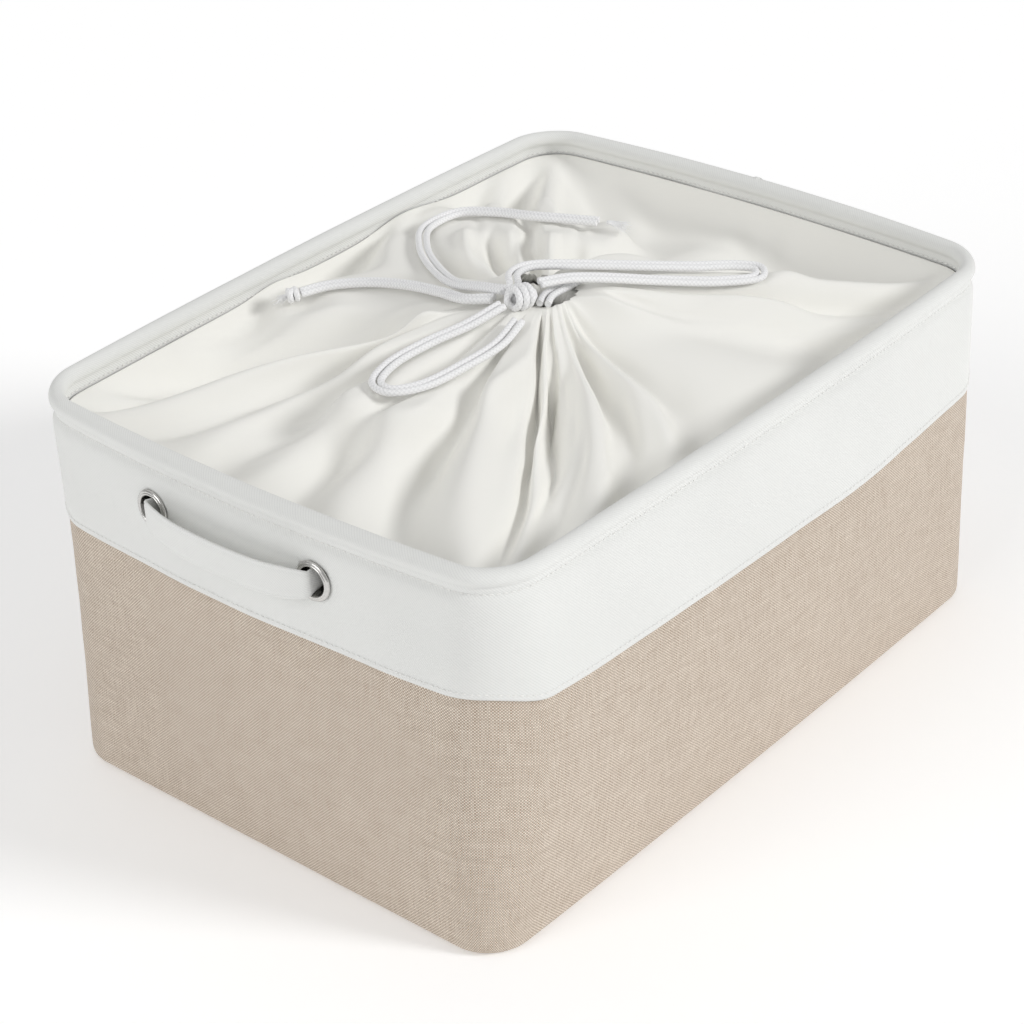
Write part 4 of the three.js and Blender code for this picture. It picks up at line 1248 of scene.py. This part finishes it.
class BIN_OT_casing(bpy.types.Operator):
    """The hem round the mouth that the drawstring runs in, pulled into pleats"""

    bl_idname = "bin.casing"
    bl_label = "Gathered casing"

    def execute(self, context):
        sizes = context.scene.bin_sizes
        around, ring = 420, 22
        angle = np.arange(around) * 2 * np.pi / around
        pleat = np.sin(angle * 19 + 1.1 * np.sin(angle * 3)) + 0.5 * np.sin(angle * 31 + 2.0)
        rows = []
        for turn in np.arange(ring) * 2 * np.pi / ring:
            inward = 0.5 * (1 - math.cos(turn))
            wide = 0.0050 + 0.0009 * pleat * (0.15 + 0.85 * inward)
            radius = sizes.mouth_radius - 0.0044 + wide * math.cos(turn) + 0.0005 * pleat
            height = sizes.mouth_height - 0.0022 + (0.0048 + 0.0005 * pleat) * math.sin(turn)
            height = height - 0.0035 * inward
            rows.append(np.stack([MOUTH.x + radius * np.cos(angle), MOUTH.y + radius * np.sin(angle), height], -1))
        mesh = point_outwards(grid_mesh("casing_hem_cloth", rows, True, True))
        # Painted shade mask: darker in the pleats' hollows and on the casing's inner side.
        inwards = 0.5 - 0.5 * np.cos(np.arange(ring) * 2 * np.pi / ring)
        depth = np.clip(0.45 - 0.35 * pleat + 0.4 * inwards[:, None], 0, 1).ravel()
        mesh.attributes.new("fold_shade_depth", "FLOAT", "POINT").data.foreach_set("value", depth.astype(np.float32))
        piece = link("casing_hem_cloth", mesh)
        finish_piece(piece, material("cover_satin"), "root", "cover_satin", "casing_hem")
        return {"FINISHED"}


# ---- handles ----
class BIN_OT_handles(bpy.types.Operator):
    """The two strap handles and their four eyelets"""

    bl_idname = "bin.handles"
    bl_label = "Handles and eyelets"

    def execute(self, context):
        for end, turn in ENDS.items():
            for place, y in EYELET_Y.items():
                self.eyelet(end, place, turn @ eyelet_frame(y))
            self.strap(end, turn)
        return {"FINISHED"}

    def lathe(self, name, profile, matrix, segments=72):
        angle = np.arange(segments) * 2 * np.pi / segments
        rows = [np.stack([r * np.cos(angle), r * np.sin(angle), np.full(segments, z)], -1) for r, z in profile]
        mesh = point_outwards(grid_mesh(name, rows, True, True))
        mesh.transform(matrix)
        return link(name, mesh)

    def eyelet(self, end, place, matrix):
        """A pressed eyelet: domed flange, groove, raised inner lip, tube, and a washer at the back."""
        outer, bore, tube, stack = (EYELET[key] for key in ("outer", "bore", "tube", "stack"))
        flange = [(outer - 0.0002, 0.0006), (outer, 0.0010), (outer - 0.0003, 0.0017), (outer - 0.0010, 0.0021)]
        flange += [(outer - 0.0017, 0.0020), (outer - 0.0022, 0.0015), (outer - 0.0024, 0.0014)]
        lip = [(bore + 0.0010 + 0.0007 * math.cos(a), 0.0017 + 0.0007 * math.sin(a)) for a in
               np.radians(np.arange(0, 181, 30))]
        profile = flange + lip + [(bore + 0.0002, 0.0005), (bore, -0.001), (bore, -stack)]
        profile += [(tube, -stack), (tube, 0.0004), (outer - 0.0012, 0.0006)]
        ring = self.lathe(f"eyelet_{end}_{place}_ring", profile, matrix)
        finish_piece(ring, material("nickel_plate"), "root", "nickel", f"eyelet_{end}_{place}")
        low, high = -stack - 0.0001, -stack + 0.0008
        back = [(outer - 0.0010, high), (outer - 0.0012, low + 0.0002), (outer - 0.0018, low), (tube + 0.0004, low)]
        back += [(tube + 0.0003, high)]
        washer = self.lathe(f"washer_{end}_{place}_ring", back, matrix, 48)
        finish_piece(washer, material("nickel_plate"), "root", "nickel", f"washer_{end}_{place}")

    def strap(self, end, turn):
        """One flat strap: it hangs in front of the wall and its ends go through the eyelets."""
        rows = []
        half = EYELET["half_span"]
        inside = EYELET["stack"] + 0.004
        for s in np.linspace(-1.34, 1.34, 91):
            rows.append(self.strap_section(s, half, inside))
        mesh = grid_mesh(f"handle_strap_{end}_webbing", rows, True, False)
        cap_ends(mesh, len(rows[0]), len(rows))
        mesh = point_outwards(mesh)
        mesh.transform(turn)
        piece = link(f"handle_strap_{end}_webbing", mesh)
        nodes = [f"handle_strap_{end}", f"strap_end_{end}_front", f"strap_end_{end}_back"]
        finish_piece(piece, material("canvas_twill"), None, "white_canvas", *nodes)
        hinge_x = end_wall(EYELET["offset"], EYELET["z"], 0).x
        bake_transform(piece)

    def strap_section(self, s, half, inside):
        """Points round the strap at s: -1 and 1 are the eyelets, beyond them it turns into the wall."""
        free = min(abs(s), 1.0)
        beyond = max(abs(s) - 1.0, 0.0) / 0.34
        y = EYELET["offset"] + half * math.copysign(free, s)
        wall = end_wall(y, EYELET["z"], 0)
        out = 0.0035 + (STRAP["stand_off"] - 0.0035) * (1 - free ** 4)
        drop = STRAP["droop"] * (1 - free * free)
        narrow = np.clip((1.0 - free) / 0.22, 0, 1)
        width = STRAP["end_width"] + (STRAP["width"] - STRAP["end_width"]) * narrow ** 0.6
        centre = wall + Vector((-out, 0, -drop))
        along = Vector((math.copysign(free ** 3 * 0.9, s), 1.0, 0.0)).normalized()
        if beyond > 0:
            bend = min(beyond / 0.25, 1.0)
            centre = wall + Vector((-out * (1 - bend), 0, -drop))
            centre.x += inside * max(beyond - 0.25, 0) / 0.75
            along = Vector((math.copysign(1.0, s), 0.25 * (1 - bend) + 1e-3, 0)).normalized()
            width = STRAP["end_width"] - 0.001 * bend
        up = Vector((0, 0, 1))
        facing = up.cross(along).normalized()
        thick = STRAP["thick"]
        curl = 0.0035 * beyond
        points = []
        for t in np.linspace(0, 2 * np.pi, 44, endpoint=False):
            c, d = math.cos(t), math.sin(t)
            across = math.copysign(abs(c) ** 0.35, c) * width / 2
            deep = math.copysign(abs(d) ** 0.8, d) * thick / 2
            edge = abs(across) / (width / 2)
            bow = -curl * edge ** 2 + 0.0004 * edge ** 2
            deep *= 1 - 0.35 * math.exp(-((edge - 0.80) / 0.07) ** 2)
            points.append(centre + up * across + facing * (deep + bow))
        return np.array(points)


# ---- stitches ----
def stitch_tree():
    """Geometry nodes: a running stitch of small rounded threads along a line of edges."""
    tree = bpy.data.node_groups.new("running_stitch", "GeometryNodeTree")
    face = tree.interface
    face.new_socket("Geometry", in_out="INPUT", socket_type="NodeSocketGeometry")
    for name, value in (("Pitch", 0.003), ("Stitch length", 0.0023), ("Thread width", 0.0005), ("Wobble", 0.05)):
        face.new_socket(name, in_out="INPUT", socket_type="NodeSocketFloat").default_value = value
    face.new_socket("Seed", in_out="INPUT", socket_type="NodeSocketInt").default_value = 1
    face.new_socket("Material", in_out="INPUT", socket_type="NodeSocketMaterial")
    face.new_socket("Geometry", in_out="OUTPUT", socket_type="NodeSocketGeometry")
    wire = Wiring(tree)
    given = wire.node("NodeGroupInput").outputs
    line = wire.node("GeometryNodeMeshToCurve", {"Mesh": given["Geometry"]})
    even = wire.node("GeometryNodeResampleCurve", {"Curve": line.outputs[0], "Length": given["Pitch"]}, mode="LENGTH")
    bead = wire.node("GeometryNodeMeshUVSphere", {"Segments": 6, "Rings": 4, "Radius": 0.5})
    size = wire.node(
        "ShaderNodeCombineXYZ", {0: given["Stitch length"], 1: given["Thread width"], 2: given["Thread width"]})
    thread = wire.node("GeometryNodeTransform", {"Geometry": bead.outputs["Mesh"], "Scale": size.outputs[0]})
    tangent = wire.node("GeometryNodeInputTangent")
    aim = wire.node("FunctionNodeAlignRotationToVector", {"Vector": tangent.outputs[0]}, axis="X")
    low = wire.math("MULTIPLY", given["Wobble"], -1.0)
    jitter = wire.node("FunctionNodeRandomValue", {2: low, 3: given["Wobble"], "Seed": given["Seed"]})
    lean = wire.node("ShaderNodeCombineXYZ", {2: jitter.outputs[1], 1: jitter.outputs[1]})
    turn = wire.node("FunctionNodeEulerToRotation", {0: lean.outputs[0]})
    aimed = wire.node(
        "FunctionNodeRotateRotation", {0: aim.outputs[0], 1: turn.outputs[0]}, rotation_space="LOCAL")
    stitched = wire.node("GeometryNodeInstanceOnPoints", {
        "Points": even.outputs[0], "Instance": thread.outputs[0], "Rotation": aimed.outputs[0]})
    real = wire.node("GeometryNodeRealizeInstances", {"Geometry": stitched.outputs[0]})
    dyed = wire.node("GeometryNodeSetMaterial", {"Geometry": real.outputs[0], "Material": given["Material"]})
    out = wire.node("NodeGroupOutput")
    tree.links.new(dyed.outputs[0], out.inputs["Geometry"])
    return tree


def stitch_run(name, lines, tree, body="root", slot="white_canvas", **inputs):
    """A run of stitches along one or more lines of points, made real as one piece."""
    points, edges = [], []
    for line, closed in lines:
        first = len(points)
        points += [tuple(p) for p in line]
        count = len(line)
        edges += [(first + k, first + (k + 1) % count) for k in range(count if closed else count - 1)]
    mesh = bpy.data.meshes.new(name)
    mesh.from_pydata(points, edges, [])
    piece = link(name, mesh)
    nodes = piece.modifiers.new("stitches", "NODES")
    nodes.node_group = tree
    sockets = {item.name: item.identifier for item in tree.interface.items_tree if item.in_out == "INPUT"}
    for key, value in (inputs | {"Material": material("sewing_thread")}).items():
        nodes[sockets[key.replace("_", " ")]] = value
    made = bpy.data.meshes.new_from_object(piece.evaluated_get(bpy.context.evaluated_depsgraph_get()))
    piece.modifiers.clear()
    piece.data = made
    piece.data.polygons.foreach_set("use_smooth", [True] * len(made.polygons))
    bpy.data.meshes.remove(mesh)
    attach(piece, body)
    return piece


class BIN_OT_stitches(bpy.types.Operator):
    """The rows of stitches under the rim, inside it and along the band's lower edge"""

    bl_idname = "bin.stitches"
    bl_label = "Stitches"

    def execute(self, context):
        sizes = context.scene.bin_sizes
        tree = stitch_tree()
        shape = {"Pitch": sizes.stitch_pitch, "Stitch length": sizes.stitch_pitch * 0.74,
                 "Thread width": sizes.stitch_width, "Wobble": 0.07, "Seed": sizes.seed}
        inputs = {key.replace(" ", "_"): value for key, value in shape.items()}
        stitch = HEIGHT - STITCH_DROP
        rows = wall_waves(np.array([outline(stitch + 0.0002, 0.0025), outline(SEAM + 0.0029, 0.0002)]))
        stitch_run("rim_stitches_outside", [(rows[0], True)], tree, **inputs)
        stitch_run("band_edge_stitches", [(rows[1], True)], tree, **inputs)
        inside = outline(stitch + 0.0006, 0.0064)
        stitch_run("rim_stitches_inside", [(inside, True)], tree, **inputs)
        return {"FINISHED"}


# ---- frame nodes that keep their own shape ----
class BIN_OT_frame_finishes(bpy.types.Operator):
    """Finishes for the boards and the rim's wire"""

    bl_idname = "bin.frame_finishes"
    bl_label = "Boards and wire"

    def execute(self, context):
        finishes = {"rim_wire": "drawn_steel", "base_board": "pressed_board"}
        finishes |= {f"board_{side}": "pressed_board" for side in ("front", "back", "left", "right")}
        for node, finish in finishes.items():
            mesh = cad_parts[node].data
            mesh.materials.clear()
            mesh.materials.append(material(finish))
        return {"FINISHED"}


class BIN_PT_panel(bpy.types.Panel):
    """Sizes, colours and pieces of the storage bin"""

    bl_label = "Storage bin"
    bl_idname = "BIN_PT_panel"
    bl_space_type = "VIEW_3D"
    bl_region_type = "UI"
    bl_category = "Bin"

    def draw(self, context):
        for group in (context.scene.bin_sizes, context.scene.bin_colours):
            box = self.layout.box()
            for name in group.__annotations__:
                box.prop(group, name)
        for operator in OPERATORS:
            self.layout.operator(operator.bl_idname)


OPERATORS = (
    BIN_OT_stage, BIN_OT_cords, BIN_OT_fabric, BIN_OT_lining, BIN_OT_cover, BIN_OT_casing, BIN_OT_handles,
    BIN_OT_stitches, BIN_OT_frame_finishes,
)
CLASSES = (BinSizes, BinColours, *OPERATORS, BIN_PT_panel)


def register():
    for cls in CLASSES:
        bpy.utils.register_class(cls)
    bpy.types.Scene.bin_sizes = PointerProperty(type=BinSizes)
    bpy.types.Scene.bin_colours = PointerProperty(type=BinColours)


def unregister():
    del bpy.types.Scene.bin_sizes
    del bpy.types.Scene.bin_colours
    for cls in reversed(CLASSES):
        bpy.utils.unregister_class(cls)


def main():
    register()
    for operator in OPERATORS:
        group, name = operator.bl_idname.split(".")
        getattr(getattr(bpy.ops, group), name)()


if __name__ == "__main__":
    main()
